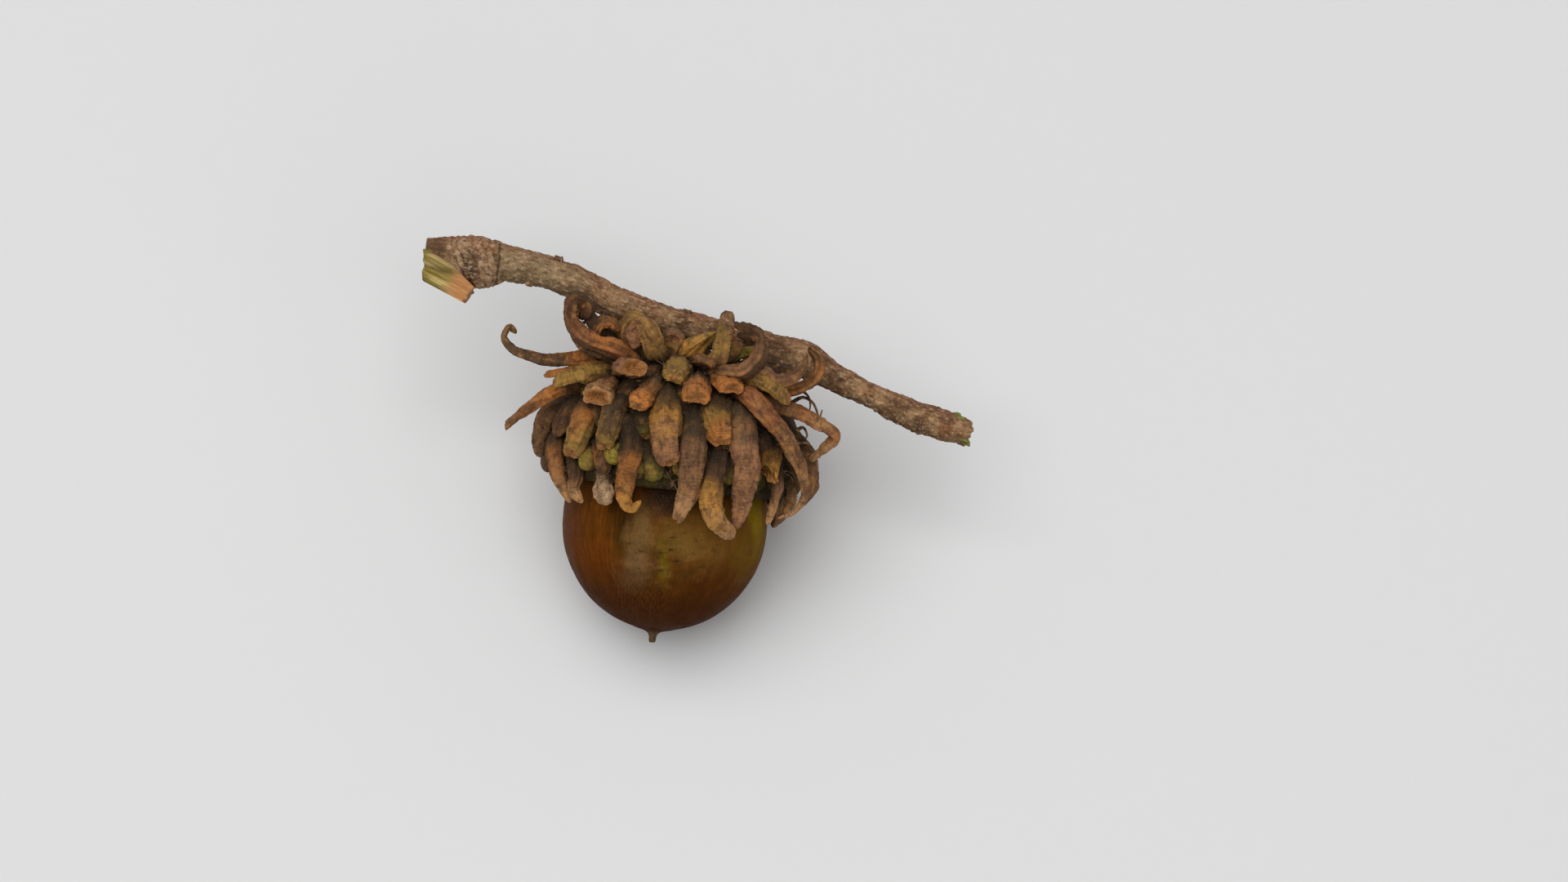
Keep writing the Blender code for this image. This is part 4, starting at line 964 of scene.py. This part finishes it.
    # what is close to the wall is in the shade of the other scales, but for broken faces and the rim
    height = co @ np.array(AXIS)
    beyond = np.linalg.norm(co - np.outer(height, AXIS), axis=1)
    beyond -= np.interp(height, [p[0] for p in CUP_OUTSIDE], [p[1] for p in CUP_OUTSIDE])
    lit = np.maximum(step(-0.2, 3.6, beyond), 1.0 - step(2.6, 4.6, height))
    # painted shade inside a broken end, darker the deeper in, and most inside a hollow one
    depth = step(0.15, 0.8, inward) * (1.0 if hollow > 0.5 else 0.2) * torn
    carry(mesh, "tint", "FLOAT_COLOR", np.column_stack([tint, np.ones(len(tint))]))
    carry(mesh, "unbent", "FLOAT_VECTOR", unbent + seed * 3.0)
    carry_shares(mesh, felt=felt, lit=np.maximum(lit, torn * 0.9), torn=torn, depth=depth)
    for k in np.flatnonzero((hairy > 0.3) & (lit > 0.05) & (inward < 0.1)):
        if draw.random() < FELT_SHARE:
            outward_here = across_at[k] * side[k] + out_at[k] * np.sin(turn[k])
            FELT_SPOTS.append((co[k], outward_here, along_at[k]))
    return mesh


def joined(name, meshes):
    """One mesh of many, with what their vertices carry."""
    pieces = [stand(name, mesh) for mesh in meshes]
    with bpy.context.temp_override(
        active_object=pieces[0], object=pieces[0], selected_objects=pieces,
        selected_editable_objects=pieces,
    ):
        bpy.ops.object.join()
    mesh = pieces[0].data
    bpy.data.objects.remove(pieces[0])
    return mesh


def scale_finish():
    skin = Finish("scale_skin", Specular_IOR_Level=0.2)
    tint = skin.attribute("tint", "Color")
    unbent = skin.attribute("unbent", "Vector")
    felt, torn, deep, lit = (skin.attribute(name, "Fac") for name in ("felt", "torn", "depth", "lit"))
    fibres = skin.cloud(unbent, 1.0, 5.0, 0.65, (4.5, 4.5, 0.55))
    creases = skin.cloud(unbent, 1.0, 4.0, 0.6, (0.8, 0.8, 3.6), distortion=0.6)
    wrinkles = skin.cloud(unbent, 1.0, 3.0, 0.55, (0.45, 0.45, 3.4), (1.0, 2.0, 9.0), 0.4)
    blotches = skin.cloud(unbent, 0.75, 5.0, 0.65)
    spots = skin.cloud(unbent, 1.5, 5.0, 0.65, (1.0, 1.0, 0.7), (5.0, 9.0, 3.0))
    grain = skin.cloud(unbent, 7.0, 4.0, 0.7)
    lines = ((wrinkles - 0.5) * (wrinkles - 0.5)).rise(0.0006, 0.0) * (1.0 - felt) * (1.0 - torn)
    fuzz = (felt * (0.45 + grain)).least(1.0)
    fuzz_tone = skin.mix(grain.rise(0.35, 0.7), tone(56, 43, 30), tone(114, 94, 68))
    rim = skin.mix(grain.rise(0.3, 0.7), tone(140, 84, 40), tone(196, 138, 78))
    # broken faces: the rim's colour, with painted shade deep inside hollow ends
    inside = skin.shade(skin.mix(deep, rim, tone(50, 33, 21)), 0.42 + blotches * 1.15)
    colour = skin.layered(
        tint,
        (blotches.rise(0.5, 0.6) * 0.6, tone(100, 66, 46)),
        (spots.rise(0.52, 0.62) * 0.5, tone(192, 134, 70)),
        (spots.rise(0.46, 0.36) * 0.6, tone(72, 50, 33)),
    )
    # darker where the relief is low: partly the skin's own streaks, partly painted shade in its folds and
    # creases, and painted shade along the wrinkle lines
    colour = skin.layered(
        skin.shade(colour, 0.22 + fibres * 0.85 + creases * 0.65),
        (lines * fibres.rise(0.36, 0.62) * 0.26, tone(72, 48, 32)),
        (fuzz * 0.8, fuzz_tone),
        (torn, inside),
    )
    height = fibres * 0.5 + creases * 0.5 + grain * (0.3 + felt * 0.4 + torn * 0.5) - lines * 0.12
    skin.look(
        Base_Color=skin.shade(colour, 0.22 + lit * 0.78), Roughness=0.62 + felt * 0.3,
        Normal=skin.relief(height, 0.00025),
    )
    return skin


def rooted(rows):
    """Scales from rows of the lists above, with the place and way out of each one's root."""
    for (x, y), points, *shape in rows:
        yield *cup_root(x, y), [Vector(p) for p in points], *shape


def scale_meshes(first, scales, detail):
    return [scale_mesh(first + k, scale, *detail) for k, scale in enumerate(scales)]


ALL_ROUND = (-1.0, 360.0)
BEHIND = (FIRST_BACK_AZIMUTH, LAST_BACK_AZIMUTH)
BEFORE = (LAST_BACK_AZIMUTH, FIRST_BACK_AZIMUTH + 360.0)
front = scale_meshes(FIRST_FRONT, rooted(FRONT_SCALES), FRONT_DETAIL)
filling = scale_meshes(
    FIRST_FILLING, ring_scales(FILLING_RINGS, *BEFORE, 2, FILLING_TINTS), FILLING_DETAIL
)
back = scale_meshes(FIRST_BACK, ring_scales(BACK_RINGS, *BEHIND, 4, RING_TINTS), BACK_DETAIL)
crown = scale_meshes(FIRST_CROWN, ring_scales(CROWN_RINGS, *ALL_ROUND, 3, CROWN_TINTS), CROWN_DETAIL)
deep = scale_meshes(FIRST_DEEP, rooted(DEEP_SCALES), DEEP_DETAIL)
scale_skin = scale_finish()
for name, meshes in (
    ("scales_front", front), ("scales_between", filling + crown + deep), ("scales_back", back),
):
    place(name, joined(name, meshes), scale_skin, "cup_scales", "cup")

# The felt on the scales
# Short matted hairs that the young scales grew and that still stand at their roots, with some
# loose shreds and threads of dried skin caught between them.
HAIR_LENGTH = (0.35, 0.9)
HAIR_RADIUS = 0.022
HAIR_ROOT = 0.04  # how deep a hair stands in its scale
HAIR_SEED = 5
# Where fine threads are caught, three at each place
THREADS = [
    (12.6, 8.6, 7.2), (12.4, 5.4, 6.6), (12.9, 3.4, 5.6), (1.2, 4.9, 11.9), (1.7, 4.5, 12.1),
    (0.6, 4.3, 11.8), (2.1, 5.1, 12.0), (-5.6, 4.6, 11.3), (-6.5, 3.6, 11.3), (-1.8, 15.4, 9.4),
    (0.2, 15.6, 9.0), (-5.2, 16.6, 7.6), (4.4, 15.6, 8.8), (-7.6, 21.4, 4.4),
]
THREADS_EACH = 3
THREAD_STEPS = 4
THREAD_STEP = (0.3, 0.6)
THREAD_RADIUS = (0.04, 0.08)
# Stronger curled fibres, most of them at the right edge of the cup
CURLED_FIBRES = [
    [(12.6, 13.2, 5.2), (14.2, 13.7, 5.0), (15.0, 13.0, 4.8), (15.1, 11.9, 4.9), (14.6, 11.2, 5.0)],
    [(13.2, 12.4, 5.2), (14.6, 12.9, 5.0), (15.4, 12.2, 4.9), (16.0, 11.0, 5.0), (16.3, 11.6, 5.0)],
    [(13.6, 9.6, 5.2), (14.6, 9.8, 5.0), (15.0, 9.2, 5.0), (14.6, 8.6, 5.2)],
    [(13.8, 8.4, 5.2), (14.8, 8.4, 5.0), (15.1, 7.6, 5.0)],
    [(-8.6, 20.6, 4.2), (-7.4, 21.4, 4.2), (-6.6, 21.2, 4.0), (-6.2, 21.7, 4.0)],
]
FIBRE_RADIUS = (0.12, 0.2)
FIBRE_STRAY = 0.2
STRAND_FLATNESS = 2.2
THREAD_SEED = 8


def drawn_vector(draw, reach):
    return Vector([draw.uniform(-reach, reach) for _ in range(3)])


def hairs_mesh():
    draw = random.Random(HAIR_SEED)
    hair = bmesh.new()
    bmesh.ops.create_cone(
        hair, cap_ends=False, segments=3, radius1=1.0, radius2=0.0, depth=1.0,
        matrix=Matrix.Translation((0.0, 0.0, 0.5)),
    )
    bmesh.ops.remove_doubles(hair, verts=hair.verts, dist=1e-5)
    one = as_mesh("hair", hair)
    all_hairs = bmesh.new()
    for _ in FELT_SPOTS:
        all_hairs.from_mesh(one)
    mesh = as_mesh("hairs", all_hairs)
    shape = places_of(one)
    rows = []
    for spot, outward, along in FELT_SPOTS:
        way = Vector(outward) * draw.uniform(0.3, 0.8) + Vector(along) * draw.uniform(0.4, 1.0)
        way = (way + drawn_vector(draw, 0.4)).normalized()
        turn = np.array(way.to_track_quat("Z", "Y").to_matrix())
        size = (HAIR_RADIUS, HAIR_RADIUS, draw.uniform(*HAIR_LENGTH))
        rows.append(spot - HAIR_ROOT * outward + (shape * size) @ turn.T)
    mesh.vertices.foreach_set("co", kept_above_table(np.vstack(rows)).ravel())
    return mesh


def strand_mesh(points, radius):
    """A thin dry thread along a line, thinner at its end."""
    line = smooth_line(points, 6)
    known = np.linspace(0, 1, len(line))
    along, across, out = frames_along(line, Vector(points[1] - points[0]).orthogonal())
    stock = bar(12, 5)
    size = radius * (1.0 - 0.75 * stock.share) * stock.radial
    here, over, outer = (read_at(stock.share, known, rows) for rows in (line, across, out))
    wide = np.cos(stock.turn) * size * STRAND_FLATNESS
    thick = np.sin(stock.turn) * size
    return stock.bent(here + over * wide[:, None] + outer * thick[:, None])


def thread_meshes():
    draw = random.Random(THREAD_SEED)
    for spot in THREADS:
        for _ in range(THREADS_EACH):
            points = [np.array(spot) + drawn_vector(draw, 0.6)]
            way = drawn_vector(draw, 1.0).normalized()
            bend = drawn_vector(draw, 1.0)
            for _ in range(THREAD_STEPS):
                points.append(points[-1] + np.array(way) * draw.uniform(*THREAD_STEP))
                way = (way + bend * 0.45).normalized()
            yield strand_mesh(points, draw.uniform(*THREAD_RADIUS))
    for fibre in CURLED_FIBRES:
        bent = [np.array(p) + drawn_vector(draw, FIBRE_STRAY) for p in fibre]
        yield strand_mesh(bent, draw.uniform(*FIBRE_RADIUS))


def hair_finish(name, dark, light):
    hair = Finish(name, Roughness=0.9, Specular_IOR_Level=0.1)
    plant = hair.seen_from(LAID_DOWN.inverted())
    hair.look(Base_Color=hair.mix(hair.cloud(plant, 1.1, 4.0).rise(0.35, 0.65), dark, light))
    return hair


felt_hair = hair_finish("felt_hair", tone(64, 49, 33), tone(126, 104, 76))
dry_shred = hair_finish("dry_shred", tone(58, 42, 30), tone(134, 104, 76))
place("felt_hairs", hairs_mesh(), felt_hair, "cup_scales", "cup")
place("shreds", joined("shreds", list(thread_meshes())), dry_shred, "cup_scales", "cup")

# The twig
# A cut piece of a year-old shoot in its thin grey-brown bark, with a wrinkled collar where it left
# its branch, small dead buds, and a swelling where the next shoot began.

# Its middle line, and its radius at each point
TWIG_LINE = [
    (-25.0, 28.0, 0.0, 1.75), (-22.6, 27.8, 0.0, 2.1), (-20.4, 27.5, 0.0, 2.45), (-18.3, 27.2, 0.0, 2.5),
    (-16.4, 27.0, 0.0, 1.95), (-13.6, 26.6, 0.0, 1.75), (-9.6, 25.2, 0.0, 1.7), (-5.6, 23.2, 0.0, 1.7),
    (-1.2, 21.5, 0.0, 1.65), (3.1, 20.3, -0.2, 1.65), (7.4, 19.2, -0.4, 1.6), (11.6, 17.9, -0.4, 1.75),
    (14.6, 17.2, -0.2, 1.9), (17.2, 15.5, 0.0, 1.5), (20.2, 13.9, 0.0, 1.25), (24.4, 12.0, 0.0, 1.3),
    (28.0, 10.6, 0.0, 1.6), (31.8, 9.3, 0.0, 1.3),
]
TWIG_RINGS = 420
TWIG_SIDES = 56
# Along X: the wrinkled collar's two slanted ends, the bulge under it, and the ragged stretch
COLLAR_START = (-22.9, -21.6)
COLLAR_END = (-17.9, -17.3)
COLLAR_CREASE = -17.35
COLLAR_SLANT = 0.45
BULGE_MIDDLE = -19.2
BULGE_HALF = 1.2
RAGGED_START = (21.5, 23.0)
RAGGED_END = (27.0, 28.5)
# Its buds and broken stubs: the middle, the way they stand out, how far, and their radius
TWIG_LUMPS = [
    ((-11.4, 26.4, 0.4), (0.25, 1.0, 0.1), 1.5, 0.55),
    ((-14.0, 26.2, 0.2), (-0.1, -1.0, 0.3), 1.5, 0.5),
    ((2.1, 21.0, 0.0), (0.3, 1.0, 0.2), 1.3, 0.6),
    ((6.4, 19.8, -0.3), (0.1, 1.0, -0.25), 2.3, 0.75),
    ((22.0, 13.2, 0.0), (-0.3, -1.0, 0.5), 1.1, 0.5),
]
LUMP_SWELL = [0.0, 0.55, 0.9, 1.0], [1.5, 1.05, 0.95, 0.72]  # shares along a lump, and of its radius
# Green slivers at the torn end
SLIVERS = [
    [(30.2, 11.0, 0.6), (30.9, 11.0, 0.8), (31.4, 10.8, 0.8)],
    [(30.0, 11.2, 0.2), (30.6, 11.35, 0.3), (31.0, 11.3, 0.3)],
    [(31.0, 8.9, 0.8), (31.6, 8.6, 0.9), (31.9, 8.2, 0.9)],
    [(31.2, 8.5, 0.2), (31.7, 8.2, 0.3), (31.9, 8.0, 0.3)],
]
SLIVER_RADIUS = 0.2


def twig_mesh():
    line = smooth_line(TWIG_LINE)
    run = run_along(line[:, :3])
    along, across, out = frames_along(line[:, :3], (0.0, 1.0, 0.0))
    stock = bar(TWIG_RINGS, TWIG_SIDES)
    share, radial, inward = stock.share, stock.radial, stock.inward
    side, face = np.cos(stock.turn), np.sin(stock.turn)
    here, along_at, across_at, out_at = (
        read_at(share, run / run[-1], rows) for rows in (line, along, across, out)
    )
    x = here[:, 0]
    radius = here[:, 3]
    distance = share * run[-1]

    def rough(scale, seed, round_it=1.0, lengthwise=1.0):
        """Soft noise over the bark, stretched where a share is small."""
        places = np.column_stack([side * round_it, face * round_it, distance * lengthwise])
        return clouds(places, scale, seed)

    folds = rough(1.4, 2.0, 2.2, 0.22) * 0.17
    lumps = rough(1.0, 4.0, 1.0, 0.5) * 0.16
    grain = rough(2.4, 6.0, radius) * 0.1 + rough(6.0, 8.0, radius) * 0.05
    slanted = x + COLLAR_SLANT * face * radius
    bend = rough(1.6, 11.0, 1.0, 0.3)
    collar = step(*COLLAR_START, slanted) * (1.0 - step(*COLLAR_END, slanted + bend * 0.5))
    wander = rough(1.3, 31.0, 1.1, 0.35)
    pleat = 0.5 + 0.5 * np.sin(slanted * 7.0 + bend * 4.0 + wander * 7.0)
    rings = (pleat**0.5 - 0.7) * 0.2 * collar * (1.0 + 1.2 * wander)
    rings += 0.3 * np.exp(-(((x - BULGE_MIDDLE) / BULGE_HALF) ** 2)) * step(0.1, 0.9, -face)
    rings -= 0.22 * np.exp(-((slanted + bend * 0.5 - COLLAR_CREASE) ** 2) / 0.03)
    fine_rings = (0.25 - np.abs(rough(1.0, 21.0, 1.0, 2.6))) * 0.07
    ragged = step(*RAGGED_START, x) * (1.0 - step(*RAGGED_END, x)) * step(0.2, 0.9, -face)
    flakes = np.abs(rough(1.0, 13.0, 3.0, 1.4)) * 0.45 * ragged
    swell = folds + lumps + grain + rings + fine_rings + flakes
    reach = (radius + swell * (1.0 - step(0.0, 0.3, inward))) * radial
    jag = rough(1.6, 17.0, 2.0, 0.0) * 0.7 * step(0.985, 1.0, share)
    grit = clouds(stock.at * (3.0, 3.0, 0.0), 1.2, 19.0) * 0.25 * step(0.02, 0.2, inward)
    mesh = stock.bent(
        here[:, :3] + across_at * (side * reach)[:, None] + out_at * (face * reach)[:, None]
        + along_at * (jag + grit)[:, None]
    )
    cut_face = (share < 1e-6) | (radial < 0.999)
    carry(mesh, "unbent", "FLOAT_VECTOR", np.column_stack([side * radius, face * radius, distance]))
    carry_shares(mesh, torn=np.where(cut_face, 1.0, 0.0), collar=collar, pleat=pleat, top=face)
    return mesh


def lump_mesh(number, middle, way, reach, radius):
    """A small bud or stub that stands out of the bark, blunt and uneven."""
    way = Vector(way).normalized()
    stock = bar(8, 14)
    share, radial = stock.share, stock.radial
    known = np.linspace(0, 1, 9)
    line = np.array([np.array(middle) + np.array(way) * reach * t for t in known])
    along, across, out = frames_along(line, way.orthogonal())
    here, over, outer, ahead = (read_at(share, known, rows) for rows in (line, across, out, along))
    size = radius * np.interp(share, *LUMP_SWELL)
    size = size * (1.0 + 0.22 * clouds(stock.at, 1.7, number * 3.1)) * radial
    co = here + over * (np.cos(stock.turn) * size)[:, None] + outer * (np.sin(stock.turn) * size)[:, None]
    in_end = share > 0.999
    dip = np.where(in_end, (1.0 - radial) * -0.25, 0.0) + clouds(stock.at, 2.2, number) * 0.18 * share
    mesh = stock.bent(co + ahead * dip[:, None])
    none = 0.0 * share
    carry(mesh, "unbent", "FLOAT_VECTOR", stock.at * (radius, radius, reach) + number * 5.0 + 40.0)
    carry_shares(
        mesh, torn=np.where(in_end & (radial < 0.7), 0.3, 0.0), collar=none, pleat=none, top=none
    )
    return mesh


def bark_finish():
    bark = Finish("twig_bark", Roughness=0.85, Specular_IOR_Level=0.15)
    unbent = bark.attribute("unbent", "Vector")
    torn, collar, pleat, top = (
        bark.attribute(name, "Fac") for name in ("torn", "collar", "pleat", "top")
    )
    distance = bark.parts(unbent)[2]
    lengthwise = bark.cloud(unbent, 1.0, 6.0, 0.7, (2.4, 2.4, 0.4))
    patches = bark.cloud(unbent, 0.42, 5.0, 0.65)
    reddish = bark.cloud(unbent, 0.6, 5.0, 0.65, (1.0, 1.0, 0.6), (4.0, 1.0, 8.0))
    across = bark.cloud(unbent, 1.0, 5.0, 0.65, (0.5, 0.5, 3.2))
    pale = bark.cloud(unbent, 0.8, 4.0, 0.6, (1.6, 1.6, 1.9), (3.0, 8.0, 5.0))
    flecks = bark.cloud(unbent, 1.0, 5.0, 0.7, (3.0, 3.0, 1.5), (2.0, 6.0, 1.0))
    grain = bark.cloud(unbent, 6.0, 4.0, 0.7)
    pores = bark.spots(unbent, 0.8)
    grey = distance.rise(6.5, 9.0) * distance.rise(21.0, 13.0)
    gloom = patches * 1.6 + lengthwise * 0.6 - (distance - 4.6) * (distance - 4.6) * 0.3
    crease = distance + (patches - 0.5) * 1.2 - 7.75
    folded = bark.layered(
        # painted light and shade on the folds: pale crests and dark troughs
        bark.mix(pleat.rise(0.02, 0.4), tone(92, 66, 48), tone(168, 138, 104)),
        (patches.rise(0.42, 0.58) * 0.7, tone(122, 88, 64)),
        (top.rise(0.1, 0.9) * reddish.rise(0.36, 0.56) * 0.8, tone(140, 84, 58)),
        # painted shade under the middle of the collar
        (gloom.rise(0.55, 1.1) * top.rise(0.75, -0.1) * 0.8, tone(58, 42, 34)),
        (pale.rise(0.52, 0.62) * 0.7, tone(182, 154, 122)),
    )
    colour = bark.layered(
        bark.mix(patches.rise(0.4, 0.6), tone(96, 68, 46), tone(156, 122, 86)),
        (grey * 0.75, bark.mix(patches, tone(120, 100, 70), tone(186, 160, 122))),
        (reddish.rise(0.5, 0.66) * (0.85 - grey * 0.4), tone(122, 74, 46)),
        # painted light and shade: the upper side made paler and pinkish, the underside darker
        (top.rise(0.35, 0.95) * 0.55, tone(142, 100, 74)),
        (top.rise(0.1, -0.8) * 0.55, tone(76, 58, 40)),
        (collar * 0.9, folded),
        # painted shade in the crease at the collar's end
        ((crease * crease).rise(0.03, 0.004) * 0.7, tone(60, 42, 30)),
        (flecks.rise(0.53, 0.62) * 0.65, tone(70, 49, 34)),
        (flecks.rise(0.46, 0.36) * 0.6, tone(200, 168, 132)),
        (distance.rise(2.6, 1.2) * 0.6, tone(92, 70, 52)),
    )
    colour = bark.layered(
        bark.shade(colour, lengthwise * 1.0 + grain * 0.6 + across * 0.65),
        (pores.rise(0.16, 0.09) * 0.85, tone(176, 134, 86)),
        (torn, bark.mix(grain, tone(126, 96, 58), tone(188, 160, 112))),
    )
    height = lengthwise * 0.6 + grain * 0.3 + across * 0.35 + pores.rise(0.2, 0.05) * 0.3
    bark.look(Base_Color=colour, Normal=bark.relief(height, 0.0003))
    return bark


lumps = [lump_mesh(k, *lump) for k, lump in enumerate(TWIG_LUMPS)]
slivers = [strand_mesh([np.array(p) for p in sliver], SLIVER_RADIUS) for sliver in SLIVERS]
green_wood = hair_finish("green_wood", tone(92, 104, 34), tone(150, 150, 78))
place("twig_bark", joined("twig_bark", [twig_mesh(), *lumps]), bark_finish(), "twig_bark", "twig")
place("torn_end", joined("torn_end", slivers), green_wood, "twig_bark", "twig")

# The torn heel
# The older wood that came away with the twig: a wedge of pale green fibres under the collar,
# drying to orange at its tip.
HEEL_MIDDLE = Vector((-22.6, 26.0, 0.0))
HEEL_SLANT = math.radians(-28.0)  # of its fibres, down to the right
HEEL_BLOCK = (9.0, 8.0, 4.3)  # what it is cut from: along its fibres, across them, and thick
HEEL_CUTS = 44
RAGGED_END_DEPTH = 0.35
# The cuts: a point of each, and the way out of the heel there
HEEL_SIDES = [
    ((-25.1, 27.0), (-1.0, 0.0)),
    ((-25.2, 25.25), (-0.47, -0.88)),
    ((-20.75, 23.3), (0.83, -0.55)),
    ((-21.4, 26.2), (0.72, 0.69)),
    ((-24.0, 28.45), (0.1, 0.99)),
]
HEEL_PLACE = Matrix.Translation(HEEL_MIDDLE) @ Matrix.Rotation(HEEL_SLANT, 4, "Z")


def heel_mesh():
    shape = bmesh.new()
    dark = shape.verts.layers.float.new("groove")
    bmesh.ops.create_cube(shape, size=1.0, matrix=Matrix.Diagonal((*HEEL_BLOCK, 1.0)))
    bmesh.ops.subdivide_edges(shape, edges=shape.edges, cuts=HEEL_CUTS, use_grid_fill=True)
    half = HEEL_BLOCK[2] / 2
    for vert in shape.verts:
        x, y, z = vert.co
        fibre = noise.noise(Vector((x * 0.12, y * 1.3, z * 0.4)))
        # how deep in a groove between fibre bundles, for the painted shade there
        vert[dark] = max(0.0, 1.0 - 3.6 * abs(fibre))
        splinter = noise.noise(Vector((x * 0.5, y * 4.0, z * 2.0))) * 0.12
        relief = (abs(fibre) - 0.2) * 2.0 + splinter
        vert.co.z += relief * (1 if z > 0 else -1) * min(1.0, abs(z) / half)
    shape.transform(HEEL_PLACE)
    for (x, y), (way_x, way_y) in HEEL_SIDES:
        cut = bmesh.ops.bisect_plane(
            shape, geom=shape.verts[:] + shape.edges[:] + shape.faces[:], plane_co=(x, y, 0.0),
            plane_no=(way_x, way_y, 0.0), clear_outer=True,
        )
        rim = [e for e in cut["geom_cut"] if isinstance(e, bmesh.types.BMEdge)]
        bmesh.ops.holes_fill(shape, edges=rim)
    fibre_way = HEEL_PLACE.to_3x3() @ Vector((1.0, 0.0, 0.0))
    for vert in shape.verts:
        own = HEEL_PLACE.inverted() @ vert.co
        ragged = noise.noise(Vector((7.0, own.y * 2.6, own.z * 1.3))) * RAGGED_END_DEPTH
        vert.co += fibre_way * ragged * min(1.0, abs(own.x) / 2.0)
    bmesh.ops.triangulate(shape, faces=[f for f in shape.faces if len(f.verts) > 4])
    bmesh.ops.recalc_face_normals(shape, faces=shape.faces)
    return as_mesh("heel", shape)


def heel_finish():
    wood = Finish("heel_wood", Roughness=0.7, Specular_IOR_Level=0.2)
    own = wood.seen_from((LAID_DOWN @ HEEL_PLACE).inverted())
    x, y, z = wood.parts(own)
    fibres = wood.cloud(own, 1.0, 5.0, 0.65, (0.16, 1.5, 0.5))
    fine = wood.cloud(own, 1.0, 3.0, 0.6, (0.5, 7.0, 4.0))
    bands = wood.cloud(own, 1.0, 3.0, 0.6, (0.1, 3.2, 1.5), (4.0, 4.0, 4.0))
    patches = wood.cloud(own, 0.8, 4.0, 0.6)
    groove = wood.attribute("groove", "Fac")
    orange = wood.mix(fibres, tone(182, 116, 66), tone(216, 160, 104))
    colour = wood.layered(
        wood.mix(fibres.rise(0.36, 0.6), tone(176, 152, 66), tone(214, 188, 128)),
        (y.rise(0.2, 1.8) * 0.7, tone(202, 166, 116)),
        (y.rise(-0.9, -1.9) * x.rise(1.4, -0.6) * 0.6, tone(150, 142, 40)),
        # painted shade in the grooves between the fibre bundles
        (groove * x.rise(2.2, 0.6) * 0.9, tone(84, 70, 24)),
        ((x + patches * 2.0).rise(0.6, 2.6), orange),
        ((y - x * 0.7).rise(2.5, 3.1) * 0.8, tone(104, 104, 26)),
        (bands.rise(0.55, 0.66) * x.rise(2.6, 0.4) * 0.7, tone(104, 88, 34)),
    )
    colour = wood.shade(colour, fine * 0.9 + fibres * 0.95)
    wood.look(Base_Color=colour, Normal=wood.relief(fibres * 0.7 + fine * 0.4, 0.0004))
    return wood


place("twig_heel", heel_mesh(), heel_finish(), "twig_bark", "twig")

# The studio
# A plain pale floor that rises all round into its own backdrop, a large soft light above the
# camera, a weaker one across from it, and the camera that looks down as the photograph does.
VIEW_WIDTH = 0.1641  # of the picture, at the acorn
VIEW_DISTANCE = 0.6
VIEW_MIDDLE = Vector((12.48, 8.55, 0.0))
SENSOR = 36.0
FLOOR_RADIUS = 1.1
COVE_RADIUS = 0.5
BACKDROP_HEIGHT = 1.4
FLOOR_SIDES = 96
PAPER = (0.78, 0.78, 0.78)
WORLD_LIGHT = 0.3
LIGHT_SIZE = 1.0
# Each light: its way from the acorn in shares of back, up and right, its distance and its watts
LIGHTS = {
    "key": ((1.0, 0.4, -0.2), 1.0, 7.6),
    "fill": ((0.8, -0.4, 0.5), 1.1, 1.8),
}


cove = [
    (FLOOR_RADIUS + COVE_RADIUS * math.sin(t), COVE_RADIUS - COVE_RADIUS * math.cos(t))
    for t in np.linspace(0.1, math.pi / 2, 12)
]
floor_profile = [(0.0, 0.0), (FLOOR_RADIUS, 0.0), *cove, (FLOOR_RADIUS + COVE_RADIUS, BACKDROP_HEIGHT)]
floor_mesh = as_mesh("floor", turned(floor_profile, FLOOR_SIDES))
floor_mesh.shade_smooth()
paper = Finish("floor_paper", Roughness=0.95, Specular_IOR_Level=0.0)
paper.look(Base_Color=PAPER)
floor_mesh.materials.append(paper.material)
floor = stand("floor", floor_mesh)

right_way, up_way, back_way = LAID_DOWN.to_3x3().normalized().transposed()
camera_data = bpy.data.cameras.new("camera")
camera_data.sensor_width = SENSOR
camera_data.lens = SENSOR * VIEW_DISTANCE / VIEW_WIDTH
camera_data.clip_start = 0.01
camera = stand("camera", camera_data)
turn = Matrix((right_way, up_way, back_way)).transposed().to_4x4()
camera.matrix_world = Matrix.Translation(LAID_DOWN @ VIEW_MIDDLE + back_way * VIEW_DISTANCE) @ turn
bpy.context.scene.camera = camera

for name, ((back, up, right), distance, watts) in LIGHTS.items():
    data = bpy.data.lights.new(name, "AREA")
    data.size = LIGHT_SIZE
    data.energy = watts
    way = (back_way * back + up_way * up + right_way * right).normalized()
    facing = way.to_track_quat("Z", "Y").to_matrix().to_4x4()
    stand(name, data).matrix_world = Matrix.Translation(way * distance) @ facing

world = bpy.data.worlds.new("world")
bpy.context.scene.world = world
world.use_nodes = True
sky = world.node_tree.nodes["Background"].inputs
sky["Color"].default_value = (1.0, 1.0, 1.0, 1.0)
sky["Strength"].default_value = WORLD_LIGHT
bpy.context.scene.view_settings.view_transform = "Standard"
